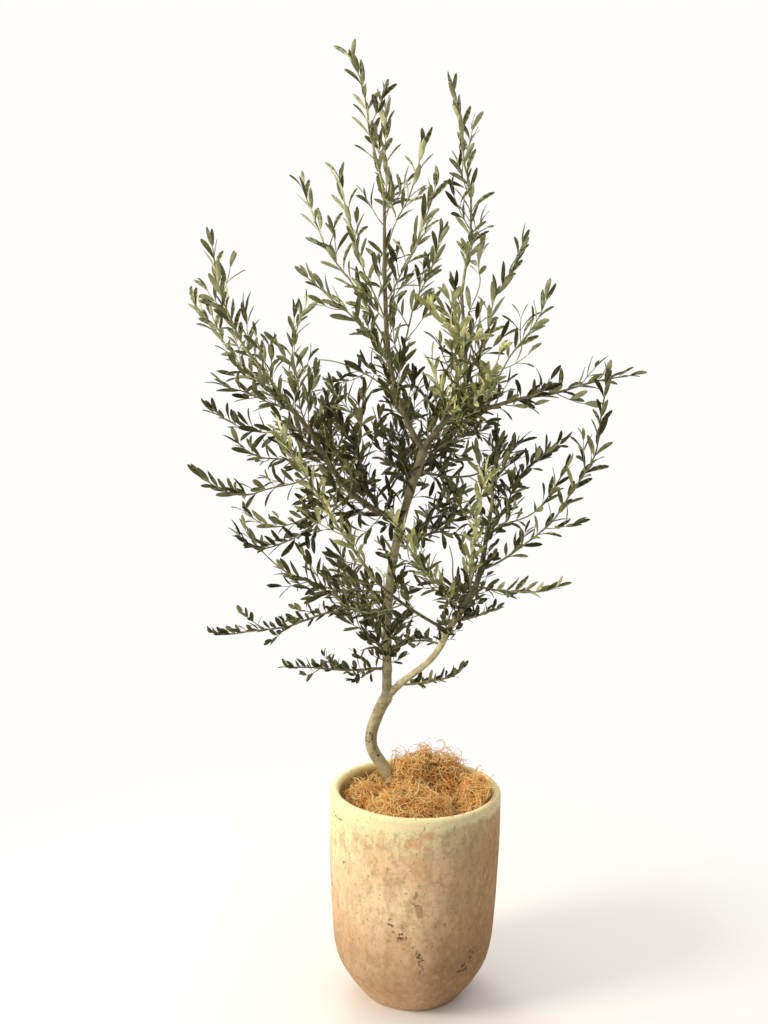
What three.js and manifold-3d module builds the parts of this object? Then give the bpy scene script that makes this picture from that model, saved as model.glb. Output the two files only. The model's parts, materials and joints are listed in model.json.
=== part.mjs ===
import * as THREE from "three";
import { mergeVertices } from "three/addons/utils/BufferGeometryUtils.js";
import Module from "manifold-3d";

// Young olive tree in a round clay pot: a trunk that leans and forks low, thin boughs, and an open
// crown of foliage masses. Each mass is one stem with side twigs and leaves, fused.
// Millimetres, +Z up, the origin in the middle of the pot's flat underside. The front looks along +Y.

const GAP = 0.3; // clearance between pieces that touch

// The pot, the soil that fills it and the fibre mulch on top
const POT_HEIGHT = 391;
const RIM_RADIUS = 157;
const FOOT_RADIUS = 92;
const WALL = 16;
const POT_FLOOR = 20;
const POT_SIDES = 30;
const POT_STEPS = 10;
const WALL_SAMPLES = 60;
const LIP_STEPS = 3;
const SOIL_TOP = 341;
const INNER_HEIGHTS = [POT_FLOOR, 70, 150, SOIL_TOP];
const MULCH_EDGE = 374; // height of the mulch where it meets the pot
const MULCH_HEAP = 58; // how far the heap behind the trunk rises over that
const MULCH_PEAK = { x: 30, y: 74, reach: 66 };
const MULCH_RINGS = 5;
const MULCH_LUMP = 3.5;

// The limbs
const LIMB_SIDES = 8;
const LIMB_STEP = 42; // length of one straight stretch of a limb
const LIMB_SAMPLES = 400;

// The foliage masses: one stem each, side twigs from it, leaves from both
const STEM_SIDES = 3;
const STEM_FOOT = 4;
const STEM_TIP = 2.2;
const STEM_STEP = 75; // length of one straight stretch of a stem
const TWIG_FOOT = 1.6;
const TWIG_TIP = 1.6;
const TWIG_STEPS = 1;
const TWIG_EVERY = 110; // length of stem for each side twig
const TWIG_FROM = 0.24;
const TWIG_TO = 0.72;
const TWIG_SHARE = 0.34; // length of the lowest side twig as a share of the stem
const TWIG_MOST = 80;
const TWIG_ANGLE = 0.78;
const TWIG_TRIES = [0, 0.9, -0.9, 1.8, 3.1]; // turns tried until a side twig has its way
const TURN = 2.4; // radians from one side twig to the next, round the stem
const LEAF_LENGTH = 70;
const LEAF_WIDTH = 19;
const TIP_LEAF = 0.9; // size of the leaf at a twig's tip
const LEAF_THICK = 1.8;
const LEAF_SINK = 0.8; // how far the leaf's foot is sunk past the twig's middle
const LEAF_NECK = 0.25; // share of a leaf that may touch the leaves beside it
const LEAF_ANGLE = 0.72;
const LEAF_SKYWARD = 0.7; // how far a leaf turns its face from the twig's tip toward the sky
const LEAF_LEAST = 0.8;
const LEAF_SPREAD = 0.28; // sizes run from the least to this much more
const STEM_LEAF_EVERY = 80;
const TWIG_LEAF_EVERY = 64;
const STEM_BARE = 0.2; // share of the stem, from its foot, that has no leaves
const TWIG_BARE = 0.3;
const SPACE = 0.6; // least distance kept between one mass and the next
const UP = new THREE.Vector3(0, 0, 1);
const taper = (foot, tip) => (u) => THREE.MathUtils.lerp(foot, tip, u);
const STEM_RADIUS = taper(STEM_FOOT, STEM_TIP);
const TWIG_RADIUS = taper(TWIG_FOOT, TWIG_TIP);

const wasm = await Module();
wasm.setup();

// A closed geometry as a solid, its shared vertices merged and its faces turned outward.
function solidOf(geometry) {
  const bare = geometry.clone();
  bare.deleteAttribute("normal");
  bare.deleteAttribute("uv");
  const merged = mergeVertices(bare, 1e-4);
  const corners = [];
  for (let i = 0; i < merged.index.count; i += 3) {
    const [a, b, c] = [0, 1, 2].map((k) => merged.index.getX(i + k));
    if (a !== b && b !== c && c !== a) corners.push(a, b, c);
  }
  const build = (list) =>
    new wasm.Manifold(
      new wasm.Mesh({
        numProp: 3,
        vertProperties: merged.attributes.position.array,
        triVerts: new Uint32Array(list),
      }),
    );
  const made = build(corners);
  return made.volume() < 0 ? build(corners.reverse()) : made;
}

// A solid's surface as a geometry with flat faces.
function geometryOf(solid) {
  const mesh = solid.getMesh();
  const position = new Float32Array(mesh.numVert * 3);
  for (let i = 0; i < mesh.numVert; i++) {
    const at = i * mesh.numProp;
    position.set(mesh.vertProperties.subarray(at, at + 3), i * 3);
  }
  const indexed = new THREE.BufferGeometry();
  indexed.setAttribute("position", new THREE.BufferAttribute(position, 3));
  indexed.setIndex(new THREE.BufferAttribute(new Uint32Array(mesh.triVerts), 1));
  const geometry = indexed.toNonIndexed();
  geometry.computeVertexNormals();
  return geometry;
}

// The outer body of the largest piece: loose scraps and sealed hollows are dropped.
function largest(solid) {
  return solid.decompose().reduce((a, b) => (b.volume() > a.volume() ? b : a));
}

// A value from 0 to 1 that is always the same for the same seed.
function chance(seed) {
  const wave = Math.sin(seed * 12.9898 + 4.1414) * 43758.5453;
  return wave - Math.floor(wave);
}

// A lathe profile bent along a curve: radius(u) gives its size, grow fattens it all round.
function spindle(curve, radius, steps, sides, grow = 0) {
  const profile = [new THREE.Vector2(0, 0)];
  for (let i = 0; i <= steps; i++) {
    profile.push(new THREE.Vector2(radius(i / steps) + grow, i));
  }
  profile.push(new THREE.Vector2(0, steps));
  const geometry = new THREE.LatheGeometry(profile, sides);
  const frames = curve.computeFrenetFrames(steps);
  const centres = frames.tangents.map((_, i) => curve.getPointAt(i / steps));
  centres[0].addScaledVector(frames.tangents[0], -grow);
  centres[steps].addScaledVector(frames.tangents[steps], grow);
  const position = geometry.attributes.position;
  for (let i = 0; i < position.count; i++) {
    const ring = Math.round(position.getY(i));
    const point = centres[ring].clone();
    point.addScaledVector(frames.normals[ring], position.getX(i));
    point.addScaledVector(frames.binormals[ring], position.getZ(i));
    position.setXYZ(i, point.x, point.y, point.z);
  }
  return solidOf(geometry);
}

// The pot: an outer and an inner wall that run up to a round lip.
const outerWall = new THREE.SplineCurve([
  new THREE.Vector2(FOOT_RADIUS, 0),
  new THREE.Vector2(0.76 * RIM_RADIUS, 0.1 * POT_HEIGHT),
  new THREE.Vector2(0.905 * RIM_RADIUS, 0.22 * POT_HEIGHT),
  new THREE.Vector2(0.97 * RIM_RADIUS, 0.43 * POT_HEIGHT),
  new THREE.Vector2(RIM_RADIUS, 0.75 * POT_HEIGHT),
  new THREE.Vector2(RIM_RADIUS, POT_HEIGHT - WALL / 2),
]);

function innerRadius(height) {
  const points = outerWall.getPoints(WALL_SAMPLES);
  const point = points.find((p) => p.y >= height) ?? points.at(-1);
  return point.x - WALL;
}

function pot() {
  const profile = [new THREE.Vector2(0, 0), ...outerWall.getPoints(POT_STEPS)];
  const lip = new THREE.Vector2(RIM_RADIUS - WALL / 2, POT_HEIGHT - WALL / 2);
  for (let i = 1; i <= LIP_STEPS; i++) {
    const angle = (i / LIP_STEPS) * Math.PI;
    const spoke = new THREE.Vector2(Math.cos(angle), Math.sin(angle));
    profile.push(lip.clone().addScaledVector(spoke, WALL / 2));
  }
  for (const height of INNER_HEIGHTS.toReversed()) {
    profile.push(new THREE.Vector2(innerRadius(height), height));
  }
  profile.push(new THREE.Vector2(0, POT_FLOOR));
  return lathe(profile);
}

// A profile turned round the upright axis.
function lathe(profile) {
  const geometry = new THREE.LatheGeometry(profile, POT_SIDES);
  geometry.rotateX(Math.PI / 2);
  return solidOf(geometry);
}

function soil() {
  const profile = [new THREE.Vector2(0, POT_FLOOR + GAP)];
  for (const height of INNER_HEIGHTS) {
    const level = height === POT_FLOOR ? POT_FLOOR + GAP : height;
    profile.push(new THREE.Vector2(innerRadius(height) - 2 * GAP, level));
  }
  profile.push(new THREE.Vector2(0, SOIL_TOP));
  return lathe(profile);
}

// The mulch: a lumpy heap that is highest behind the trunk, with the trunk's hole in it.
function mulchHeight(x, y) {
  const away = Math.hypot(x - MULCH_PEAK.x, y - MULCH_PEAK.y) / MULCH_PEAK.reach;
  const rim = (Math.hypot(x, y) / (RIM_RADIUS - WALL)) ** 4;
  const lump = Math.sin(x / 12 + 1) * Math.cos(y / 10) + 0.6 * Math.sin((x + y) / 6);
  return MULCH_EDGE + MULCH_HEAP * Math.exp(-away * away) * (1 - rim) + MULCH_LUMP * lump;
}

function mulch(trunk) {
  const edge = innerRadius(SOIL_TOP) - 2 * GAP;
  const profile = [new THREE.Vector2(0, 0), new THREE.Vector2(edge, 0)];
  for (let i = MULCH_RINGS; i >= 0; i--) {
    profile.push(new THREE.Vector2((edge * i) / MULCH_RINGS, 1));
  }
  const geometry = new THREE.LatheGeometry(profile, POT_SIDES);
  geometry.rotateX(Math.PI / 2);
  const position = geometry.attributes.position;
  for (let i = 0; i < position.count; i++) {
    const [x, y] = [position.getX(i), position.getY(i)];
    position.setZ(i, position.getZ(i) < 0.5 ? SOIL_TOP + GAP : mulchHeight(x, y));
  }
  return largest(solidOf(geometry).subtract(trunk.clear));
}

// The limbs. Each has a path, and its radii at even steps along it.
const limbs = new Map();

function limb(name, path, radii, parents = []) {
  const curve = new THREE.CatmullRomCurve3(path.map((p) => new THREE.Vector3(...p)));
  const steps = Math.max(3, Math.round(curve.getLength() / LIMB_STEP));
  const radius = (u) => {
    const at = Math.min(u * (radii.length - 1), radii.length - 1.001);
    const low = Math.floor(at);
    return THREE.MathUtils.lerp(radii[low], radii[low + 1], at - low);
  };
  let body = spindle(curve, radius, steps, LIMB_SIDES);
  for (const parent of parents) body = body.subtract(limbs.get(parent).clear);
  const clear = spindle(curve, radius, steps, LIMB_SIDES, GAP);
  limbs.set(name, { curve, body: largest(body), clear });
}

limb(
  "trunk",
  [[-20, 62, 320], [-51, 59, 392], [-81, 56, 444], [-83, 55, 472], [-70, 52, 516], [-54, 50, 548]],
  [20, 14.5, 11.8, 11.2, 11.4, 11.8],
);
limb(
  "main_stem",
  [[-55, 50, 542], [-56, 48, 617], [-57, 46, 690], [-51, 43, 785], [-33, 40, 882], [4, 35, 1012]],
  [9.5, 8.4, 8, 7.8, 7.6, 7.6],
  ["trunk"],
);
limb(
  "low_limb",
  [[-54, 50, 545], [-31, 44, 573], [27, 28, 628], [62, 4, 700], [101, -8, 773], [122, -18, 905]],
  [8, 7, 6.8, 6.4, 5.4, 3.6],
  ["trunk", "main_stem"],
);
limb(
  "leader",
  [[4, 35, 1010], [-18, 30, 1043], [-48, 22, 1114], [-63, 16, 1188], [-70, 10, 1291], [-74, 5, 1443]],
  [6.4, 5.6, 4.6, 3.6, 3],
  ["main_stem"],
);
limb(
  "right_bough",
  [[4, 35, 1010], [20, 24, 1038], [42, 12, 1064], [66, 0, 1074], [92, -10, 1084]],
  [6.2, 5.8, 5.4, 4.6],
  ["main_stem", "leader"],
);
limb(
  "second_leader",
  [[62, 2, 1073], [74, -2, 1120], [72, -6, 1180], [62, -10, 1285]],
  [4.2, 3.6, 3],
  ["right_bough"],
);
limb(
  "left_bough",
  [[-33, 40, 880], [-91, 20, 907], [-142, 6, 954], [-207, -6, 1055], [-242, -10, 1098]],
  [6, 5.2, 4.4, 3.6],
  ["main_stem"],
);
limb(
  "crossing_bough",
  [[56, 8, 682], [1, -25, 721], [-44, -55, 758], [-80, -75, 793]],
  [4.8, 4.2, 3.6],
  ["low_limb"],
);

// The masses. Each row names the limb, the height at which the stem leaves it, the place of the
// mass's furthest tip, and how far the middle of the stem lies off the straight line, in X and Z.
const masses = [
  ["tip_shoot", "leader", 1443, [-140, 0, 1700], [5, 0]],
  ["tip_side", "leader", 1388, [-80, 65, 1655], [5, 5]],
  ["high_right", "leader", 1350, [-3, -70, 1548], [0, -12]],
  ["high_back", "leader", 1330, [-60, 240, 1480], [0, 25]],
  ["mid_right", "leader", 1270, [15, -80, 1485], [10, -10]],
  ["high_left", "leader", 1235, [-155, -60, 1500], [-10, 10]],
  ["left_spire", "leader", 1200, [-230, 50, 1495], [-15, 10]],
  ["low_left", "leader", 1165, [-220, -120, 1315], [-5, 20]],
  ["low_right", "leader", 1145, [40, 130, 1425], [0, -5]],
  ["core_left_high", "leader", 1095, [-225, 190, 1160], [0, 25]],
  ["second_spire", "second_leader", 1285, [30, -10, 1650], [25, -5]],
  ["second_side", "second_leader", 1230, [110, 190, 1400], [5, 0]],
  ["right_high", "second_leader", 1130, [185, 60, 1405], [0, 10]],
  ["right_upper", "right_bough", 1079, [215, -60, 1305], [15, 10]],
  ["right_long", "right_bough", 1084, [385, -40, 1155], [20, 10]],
  ["front_high", "right_bough", 1050, [20, -200, 1290], [30, 10]],
  ["front_right", "right_bough", 1066, [110, -230, 1205], [20, -10]],
  ["back_right", "main_stem", 1002, [150, 280, 1130], [10, -25]],
  ["right_mid", "main_stem", 970, [200, 100, 1040], [10, -30]],
  ["back_high", "main_stem", 935, [-60, 300, 1110], [0, -25]],
  ["core_right", "main_stem", 850, [70, 210, 985], [35, -45]],
  ["left_back", "main_stem", 745, [-345, 120, 870], [-20, -40]],
  ["left_low", "main_stem", 712, [-390, -40, 700], [-10, -18]],
  ["left_rise", "main_stem", 650, [-160, 190, 820], [-5, -5]],
  ["left_lowest", "main_stem", 600, [-265, -30, 620], [5, 0]],
  ["right_core", "low_limb", 905, [145, 170, 1095], [5, 0]],
  ["right_rise", "low_limb", 872, [245, -40, 1030], [0, 5]],
  ["right_inner", "low_limb", 835, [295, 130, 1005], [10, 5]],
  ["right_sweep", "low_limb", 800, [310, -60, 1180], [50, -50]],
  ["right_low", "low_limb", 770, [255, -110, 805], [5, -14]],
  ["front_bright", "low_limb", 752, [105, -180, 1015], [-10, 0]],
  ["back_low", "low_limb", 735, [60, 220, 830], [0, -20]],
  ["right_lowest", "low_limb", 705, [155, -90, 755], [0, 0]],
  ["front_centre", "low_limb", 722, [-60, -170, 930], [-15, 10]],
  ["low_centre", "low_limb", 655, [-45, 90, 625], [0, 10]],
  ["fork_right", "low_limb", 582, [100, -20, 645], [5, -10]],
  ["crossing", "crossing_bough", 793, [-250, -190, 1075], [-10, 15]],
  ["front_low", "crossing_bough", 745, [-150, -230, 800], [0, -20]],
  ["core_front", "left_bough", 915, [-75, -190, 1170], [-15, 20]],
  ["left_third", "left_bough", 935, [-325, -120, 895], [-20, -58]],
  ["left_second", "left_bough", 950, [-345, 90, 905], [-5, -50]],
  ["core_left", "left_bough", 970, [-170, 230, 1120], [-15, -15]],
  ["left_long", "left_bough", 990, [-410, -40, 985], [-5, -50]],
  ["left_fourth", "left_bough", 1008, [-330, -110, 1050], [-10, -25]],
  ["left_fifth", "left_bough", 1030, [-405, 70, 1085], [-10, -10]],
  ["left_inner", "left_bough", 1045, [-205, 120, 1285], [-25, 5]],
  ["left_small", "left_bough", 1078, [-355, -120, 1140], [-15, 0]],
  ["left_outer", "left_bough", 1062, [-425, 80, 1285], [-20, 5]],
  ["left_spire_outer", "left_bough", 1098, [-365, -30, 1390], [-30, 0]],
];

// The point in the middle of a limb where it first reaches a height, or else its tip.
function onLimb(name, height) {
  const { curve } = limbs.get(name);
  for (let i = 0; i < LIMB_SAMPLES; i++) {
    const point = curve.getPointAt(i / LIMB_SAMPLES);
    if (point.z >= height) return point;
  }
  return curve.getPointAt(1);
}

// A stem's curve, from the middle of its limb until the leaf on its tip reaches the mass's tip.
function stemCurve([, on, height, tip, bow]) {
  const start = onLimb(on, height);
  const end = new THREE.Vector3(...tip);
  const middle = start.clone().lerp(end, 0.5);
  middle.add(new THREE.Vector3(2 * bow[0], 0, 2 * bow[1]));
  const last = end.clone().sub(middle).normalize();
  end.addScaledVector(last, -TIP_LEAF * LEAF_LENGTH);
  return new THREE.QuadraticBezierCurve3(start, middle, end);
}

// A point on the straight stretches between the even steps of a curve.
function pointOn({ curve, steps }, u) {
  const low = Math.min(Math.floor(u * steps), steps - 1);
  const from = curve.getPointAt(low / steps);
  return from.lerp(curve.getPointAt((low + 1) / steps), u * steps - low);
}

// The direction that lies square to a twig, at a turn round it.
function sideways(along, turn) {
  const right = new THREE.Vector3().crossVectors(along, UP).normalize();
  if (right.lengthSq() < 0.5) right.set(1, 0, 0);
  const over = new THREE.Vector3().crossVectors(right, along);
  return right.multiplyScalar(Math.cos(turn)).addScaledVector(over, Math.sin(turn));
}

// A side twig leaves the stem at a slant and bends forward and up.
function twigCurve(stem, u, turn, length) {
  const foot = pointOn(stem, u);
  const along = stem.curve.getTangentAt(u);
  const out = sideways(along, turn);
  const slant = along.clone().multiplyScalar(Math.cos(TWIG_ANGLE));
  slant.addScaledVector(out, Math.sin(TWIG_ANGLE));
  const knee = foot.clone().addScaledVector(slant, 0.55 * length);
  const end = foot.clone().addScaledVector(slant, 0.9 * length);
  end.addScaledVector(along, 0.12 * length).addScaledVector(UP, 0.08 * length);
  return new THREE.QuadraticBezierCurve3(foot, knee, end);
}

// A leaf: a lozenge with a raised rib, pointing forward and out, its foot sunk in the twig. With
// grow it is fatter all round, and with neck it lacks that share of its length at the foot.
function leaf(foot, along, out, size, grow = 0, neck = 0) {
  const point = along.clone().multiplyScalar(Math.cos(LEAF_ANGLE));
  point.addScaledVector(out, Math.sin(LEAF_ANGLE)).normalize();
  const face = along.clone().addScaledVector(UP, LEAF_SKYWARD);
  const across = new THREE.Vector3().crossVectors(point, face).normalize();
  const over = new THREE.Vector3().crossVectors(across, point);
  const length = size * LEAF_LENGTH;
  const half = (length * (1 - neck)) / 2;
  const middle = foot.clone().addScaledVector(point, length - half - LEAF_SINK);
  const geometry = new THREE.TetrahedronGeometry(Math.sqrt(3)).rotateZ(-Math.PI / 4);
  const basis = new THREE.Matrix4().makeBasis(
    point.multiplyScalar((half + 2 * grow) / Math.SQRT2),
    across.multiplyScalar(((size * LEAF_WIDTH) / 2 + 2 * grow) / Math.SQRT2),
    over.multiplyScalar(LEAF_THICK / 2 + grow),
  );
  geometry.applyMatrix4(basis.setPosition(middle));
  return solidOf(geometry);
}

// Every solid that is already in place, with the mass that owns it and its box.
const placed = [];

function place(owner, body) {
  placed.push({ owner, body, box: boxOf(body) });
  return body;
}

function boxOf(body) {
  const { min, max } = body.boundingBox();
  return new THREE.Box3(new THREE.Vector3(...min), new THREE.Vector3(...max));
}

// What a solid would touch, apart from the pieces of its own mass unless they are asked for.
function touched(owner, fat, own = false) {
  const box = boxOf(fat);
  const near = placed.filter((p) => (p.owner === owner) === own && p.box.intersectsBox(box));
  return near.filter((p) => !p.body.intersect(fat).isEmpty());
}

// How far a solid reaches along an axis.
function reach(body, from, axis) {
  const unit = axis.clone().normalize();
  const { vertProperties: at } = body.getMesh();
  let most = 0;
  for (let i = 0; i < at.length; i += 3) {
    most = Math.max(most, new THREE.Vector3(at[i], at[i + 1], at[i + 2]).sub(from).dot(unit));
  }
  return most;
}

const grown = new Map();

// The stem runs out of its limb, cut 0.3 mm clear of it, and has to miss everything else.
function growStem(row) {
  const [name, on, , tip] = row;
  const curve = stemCurve(row);
  const steps = Math.max(2, Math.round(curve.getLength() / STEM_STEP));
  const fat = spindle(curve, STEM_RADIUS, steps, STEM_SIDES, SPACE);
  const hit = touched(name, fat).find((p) => p.owner !== on);
  if (hit) throw new Error(name + " runs into " + hit.owner);
  const stem = spindle(curve, STEM_RADIUS, steps, STEM_SIDES);
  const body = largest(stem.subtract(limbs.get(on).clear));
  const shoot = { curve, steps, every: STEM_LEAF_EVERY, bare: STEM_BARE };
  const from = curve.getPointAt(0);
  const axis = new THREE.Vector3(...tip).sub(from);
  grown.set(name, { from, axis, shoots: [shoot], pieces: [place(name, body)] });
}

// Side twigs turn round the stem, and one that would touch another mass tries the next turns.
function growTwigs([name], index) {
  const { shoots, pieces } = grown.get(name);
  const [stem] = shoots;
  const length = stem.curve.getLength();
  const count = Math.round(length / TWIG_EVERY);
  for (let i = 0; i < count; i++) {
    const u = THREE.MathUtils.lerp(TWIG_FROM, TWIG_TO, i / Math.max(1, count - 1));
    const share = TWIG_SHARE * (1 - 0.5 * u) * (0.8 + 0.4 * chance(index * 31 + i));
    for (const shift of TWIG_TRIES) {
      const turn = TURN * i + index + shift;
      const curve = twigCurve(stem, u, turn, Math.min(TWIG_MOST, share * length));
      const fat = spindle(curve, TWIG_RADIUS, TWIG_STEPS, STEM_SIDES, SPACE);
      if (touched(name, fat).length) continue;
      pieces.push(place(name, spindle(curve, TWIG_RADIUS, TWIG_STEPS, STEM_SIDES)));
      shoots.push({ curve, steps: TWIG_STEPS, every: TWIG_LEAF_EVERY, bare: TWIG_BARE });
      break;
    }
  }
}

// A leaf is skipped if it passes the mass's tip, or touches a limb, another mass or a near leaf.
function growLeaf(name, foot, along, out, size) {
  const { from, axis, pieces } = grown.get(name);
  const body = leaf(foot, along, out, size);
  if (reach(body, from, axis) > axis.length() + SPACE) return;
  if (touched(name, leaf(foot, along, out, size, SPACE)).length) return;
  if (touched(name, leaf(foot, along, out, size, 0, LEAF_NECK), true).length) return;
  pieces.push(place(name, body));
}

// Leaves stand in pairs, each pair turned a quarter from the last, with one on the twig's tip.
function growLeaves([name], index) {
  grown.get(name).shoots.forEach((shoot, order) => {
    const { curve, every, bare } = shoot;
    const pairs = Math.max(1, Math.round(((1 - bare) * curve.getLength()) / every));
    for (let i = 0; i < pairs; i++) {
      const u = bare + ((1 - bare) * i) / pairs;
      const turn = (Math.PI / 2) * i + index + order + 0.6 * chance(index * 17 + order * 5 + i);
      const size = LEAF_LEAST + LEAF_SPREAD * chance(index * 7 + order * 3 + i);
      const along = curve.getTangentAt(u);
      for (const half of [0, Math.PI]) {
        growLeaf(name, pointOn(shoot, u), along, sideways(along, turn + half), size);
      }
    }
    const tip = curve.getTangentAt(1);
    const foot = curve.getPointAt(1).addScaledVector(tip, -LEAF_SINK);
    growLeaf(name, foot, tip, tip, TIP_LEAF);
  });
}

// All stems first, so that each has its way, then the side twigs, then the leaves.
for (const [name, { body }] of limbs) place(name, body);
masses.forEach(growStem);
masses.forEach(growTwigs);
masses.forEach(growLeaves);

// The trunk's foot is cut flat on the soil.
function standOnSoil(trunk) {
  const deep = 100;
  const ground = new THREE.BoxGeometry(deep, deep, deep);
  const { x, y } = trunk.curve.getPointAt(0);
  ground.translate(x, y, SOIL_TOP + GAP - deep / 2);
  return largest(trunk.body.subtract(solidOf(ground)));
}

// The whole plant in its pot
const finish = {
  pot: new THREE.MeshStandardMaterial({ color: 0xcfc4ae, roughness: 0.9 }),
  soil: new THREE.MeshStandardMaterial({ color: 0x3a2c20, roughness: 1 }),
  mulch: new THREE.MeshStandardMaterial({ color: 0x8a6238, roughness: 1 }),
  bark: new THREE.MeshStandardMaterial({ color: 0x9a9078, roughness: 0.85 }),
  leaf: new THREE.MeshStandardMaterial({ color: 0x5f6f4e, roughness: 0.6 }),
};

const tree = new THREE.Group();

function add(name, solid, material) {
  const mesh = new THREE.Mesh(geometryOf(solid), material);
  mesh.name = name;
  tree.add(mesh);
}

limbs.get("trunk").body = standOnSoil(limbs.get("trunk"));
add("pot", pot(), finish.pot);
add("soil", soil(), finish.soil);
add("mulch", mulch(limbs.get("trunk")), finish.mulch);
for (const [name, { body }] of limbs) add(name, body, finish.bark);
for (const [name, { pieces }] of grown) {
  add(name, largest(wasm.Manifold.union(pieces)), finish.leaf);
}

export default tree;
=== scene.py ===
# %% [markdown]
# A young olive tree in a whitewashed clay pot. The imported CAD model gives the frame: metres, +Z up,
# the origin in the middle of the pot's underside, the front looking along +Y. This script grows
# the foliage, dresses the wood in bark, and finishes the pot and the fibre mulch.

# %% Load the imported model
import json
import math
from bisect import bisect_right
from collections import namedtuple
import bmesh
import bpy
import numpy as np
from mathutils import Matrix, Vector, kdtree, noise

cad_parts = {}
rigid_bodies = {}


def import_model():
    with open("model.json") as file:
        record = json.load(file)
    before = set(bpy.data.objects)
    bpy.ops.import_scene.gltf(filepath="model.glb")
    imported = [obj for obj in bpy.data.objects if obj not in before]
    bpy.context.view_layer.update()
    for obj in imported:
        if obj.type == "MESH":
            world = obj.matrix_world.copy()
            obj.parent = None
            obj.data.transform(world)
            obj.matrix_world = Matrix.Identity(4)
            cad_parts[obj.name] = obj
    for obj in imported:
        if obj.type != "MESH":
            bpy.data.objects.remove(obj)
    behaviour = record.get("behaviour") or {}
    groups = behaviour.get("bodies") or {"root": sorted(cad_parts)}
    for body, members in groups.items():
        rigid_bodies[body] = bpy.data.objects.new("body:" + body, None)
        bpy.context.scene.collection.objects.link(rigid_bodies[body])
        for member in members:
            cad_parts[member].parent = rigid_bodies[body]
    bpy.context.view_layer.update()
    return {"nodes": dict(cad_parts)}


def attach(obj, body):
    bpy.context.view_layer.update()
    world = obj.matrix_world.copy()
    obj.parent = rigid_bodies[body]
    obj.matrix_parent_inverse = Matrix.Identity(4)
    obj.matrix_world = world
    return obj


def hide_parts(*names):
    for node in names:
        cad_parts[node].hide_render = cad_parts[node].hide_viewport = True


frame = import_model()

noise.seed_set(5)  # without a seed, noise_vector starts from the clock
MM = 0.001
UP = Vector((0, 0, 1))

# %% [markdown]
# Every pattern here is a sum of sockets: noise times a mask, one colour mixed over another. Nodes
# could be placed and linked one by one, but then the sum is lost in the links. A small class that
# stands for a socket lets Python's own operators add the nodes, so the maths reads as maths. The
# same class serves materials and Geometry Nodes.

# %% Sums of sockets
def operator(operation, other_first=False):
    """A Python operator that adds the node of a sum."""
    if other_first:
        return lambda wire, other: wire.sum(operation, other, wire)
    return lambda wire, other: wire.sum(operation, wire, other)


class Wire:
    """A node's output that takes part in sums."""

    __add__ = __radd__ = operator("ADD")
    __mul__ = __rmul__ = operator("MULTIPLY")
    __sub__, __rsub__ = operator("SUBTRACT"), operator("SUBTRACT", other_first=True)
    __truediv__, __rtruediv__ = operator("DIVIDE"), operator("DIVIDE", other_first=True)

    def __init__(self, graph, socket):
        self.graph = graph
        self.socket = socket

    def sum(self, operation, first, second):
        arrows = [
            isinstance(v, tuple) or (isinstance(v, Wire) and v.socket.type == "VECTOR")
            for v in (first, second)
        ]
        add = self.graph.add
        if not any(arrows):
            return add("ShaderNodeMath", {0: first, 1: second}, operation=operation)
        if operation == "MULTIPLY" and not all(arrows):
            arrow, factor = (first, second) if arrows[0] else (second, first)
            return add("ShaderNodeVectorMath", {0: arrow, "Scale": factor}, operation="SCALE")
        return add("ShaderNodeVectorMath", {0: first, 1: second}, operation=operation)

    def math(self, operation, other=0.0):
        """A function of one or two numbers, such as SINE, MINIMUM or LESS_THAN."""
        return self.graph.add("ShaderNodeMath", {0: self, 1: other}, operation=operation)

    def vector(self, operation, other=(0.0, 0.0, 0.0), out=0):
        """A function of vectors, such as CROSS_PRODUCT, NORMALIZE or LENGTH."""
        values = {0: self, 1: other}
        return self.graph.add("ShaderNodeVectorMath", values, out, operation=operation)

    def length(self):
        return self.vector("LENGTH", out=1)

    def off_axis(self):
        """How far a place lies from the upright axis."""
        return (self * (1.0, 1.0, 0.0)).length()

    def part(self, axis):
        """The X, Y or Z of a vector."""
        return self.graph.add("ShaderNodeSeparateXYZ", {"Vector": self}, axis)

    def between(self, low, high):
        """0 below low, 1 above high, and a smooth step from one to the other."""
        values = {"Value": self, "From Min": low, "From Max": high}
        return self.graph.add("ShaderNodeMapRange", values, interpolation_type="SMOOTHSTEP")


class Graph:
    """A node tree, and the one way in which nodes are added to it."""

    def __init__(self, tree):
        self.tree = tree

    def add(self, kind, values=None, out=0, **settings):
        """Adds a node: its settings first, then its sockets by place or identifier."""
        node = self.tree.nodes.new(kind)
        for name, value in settings.items():
            setattr(node, name, value)
        for key, value in (values or {}).items():
            socket = self.pick(node.inputs, key)
            for one in value if isinstance(value, list) else [value]:
                if isinstance(one, Wire):
                    self.tree.links.new(one.socket, socket)
                else:
                    socket.default_value = one
        return Wire(self, self.pick(node.outputs, out)) if len(node.outputs) else node

    def pick(self, sockets, key):
        if isinstance(key, int):
            return sockets[key]
        return next(s for s in sockets if s.identifier == key)

    def arrow(self, x, y, z):
        """A vector put together from three numbers."""
        return self.add("ShaderNodeCombineXYZ", {"X": x, "Y": y, "Z": z})


print("sockets can be summed")

# %% [markdown]
# The plant's wood is a set of smooth paths with a thickness that falls from foot to tip. A path
# could be a Blender curve, but the growing rule has to ask where a limb is at some height and
# which way it runs there. So a path here is a finely sampled line that answers both questions.

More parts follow.
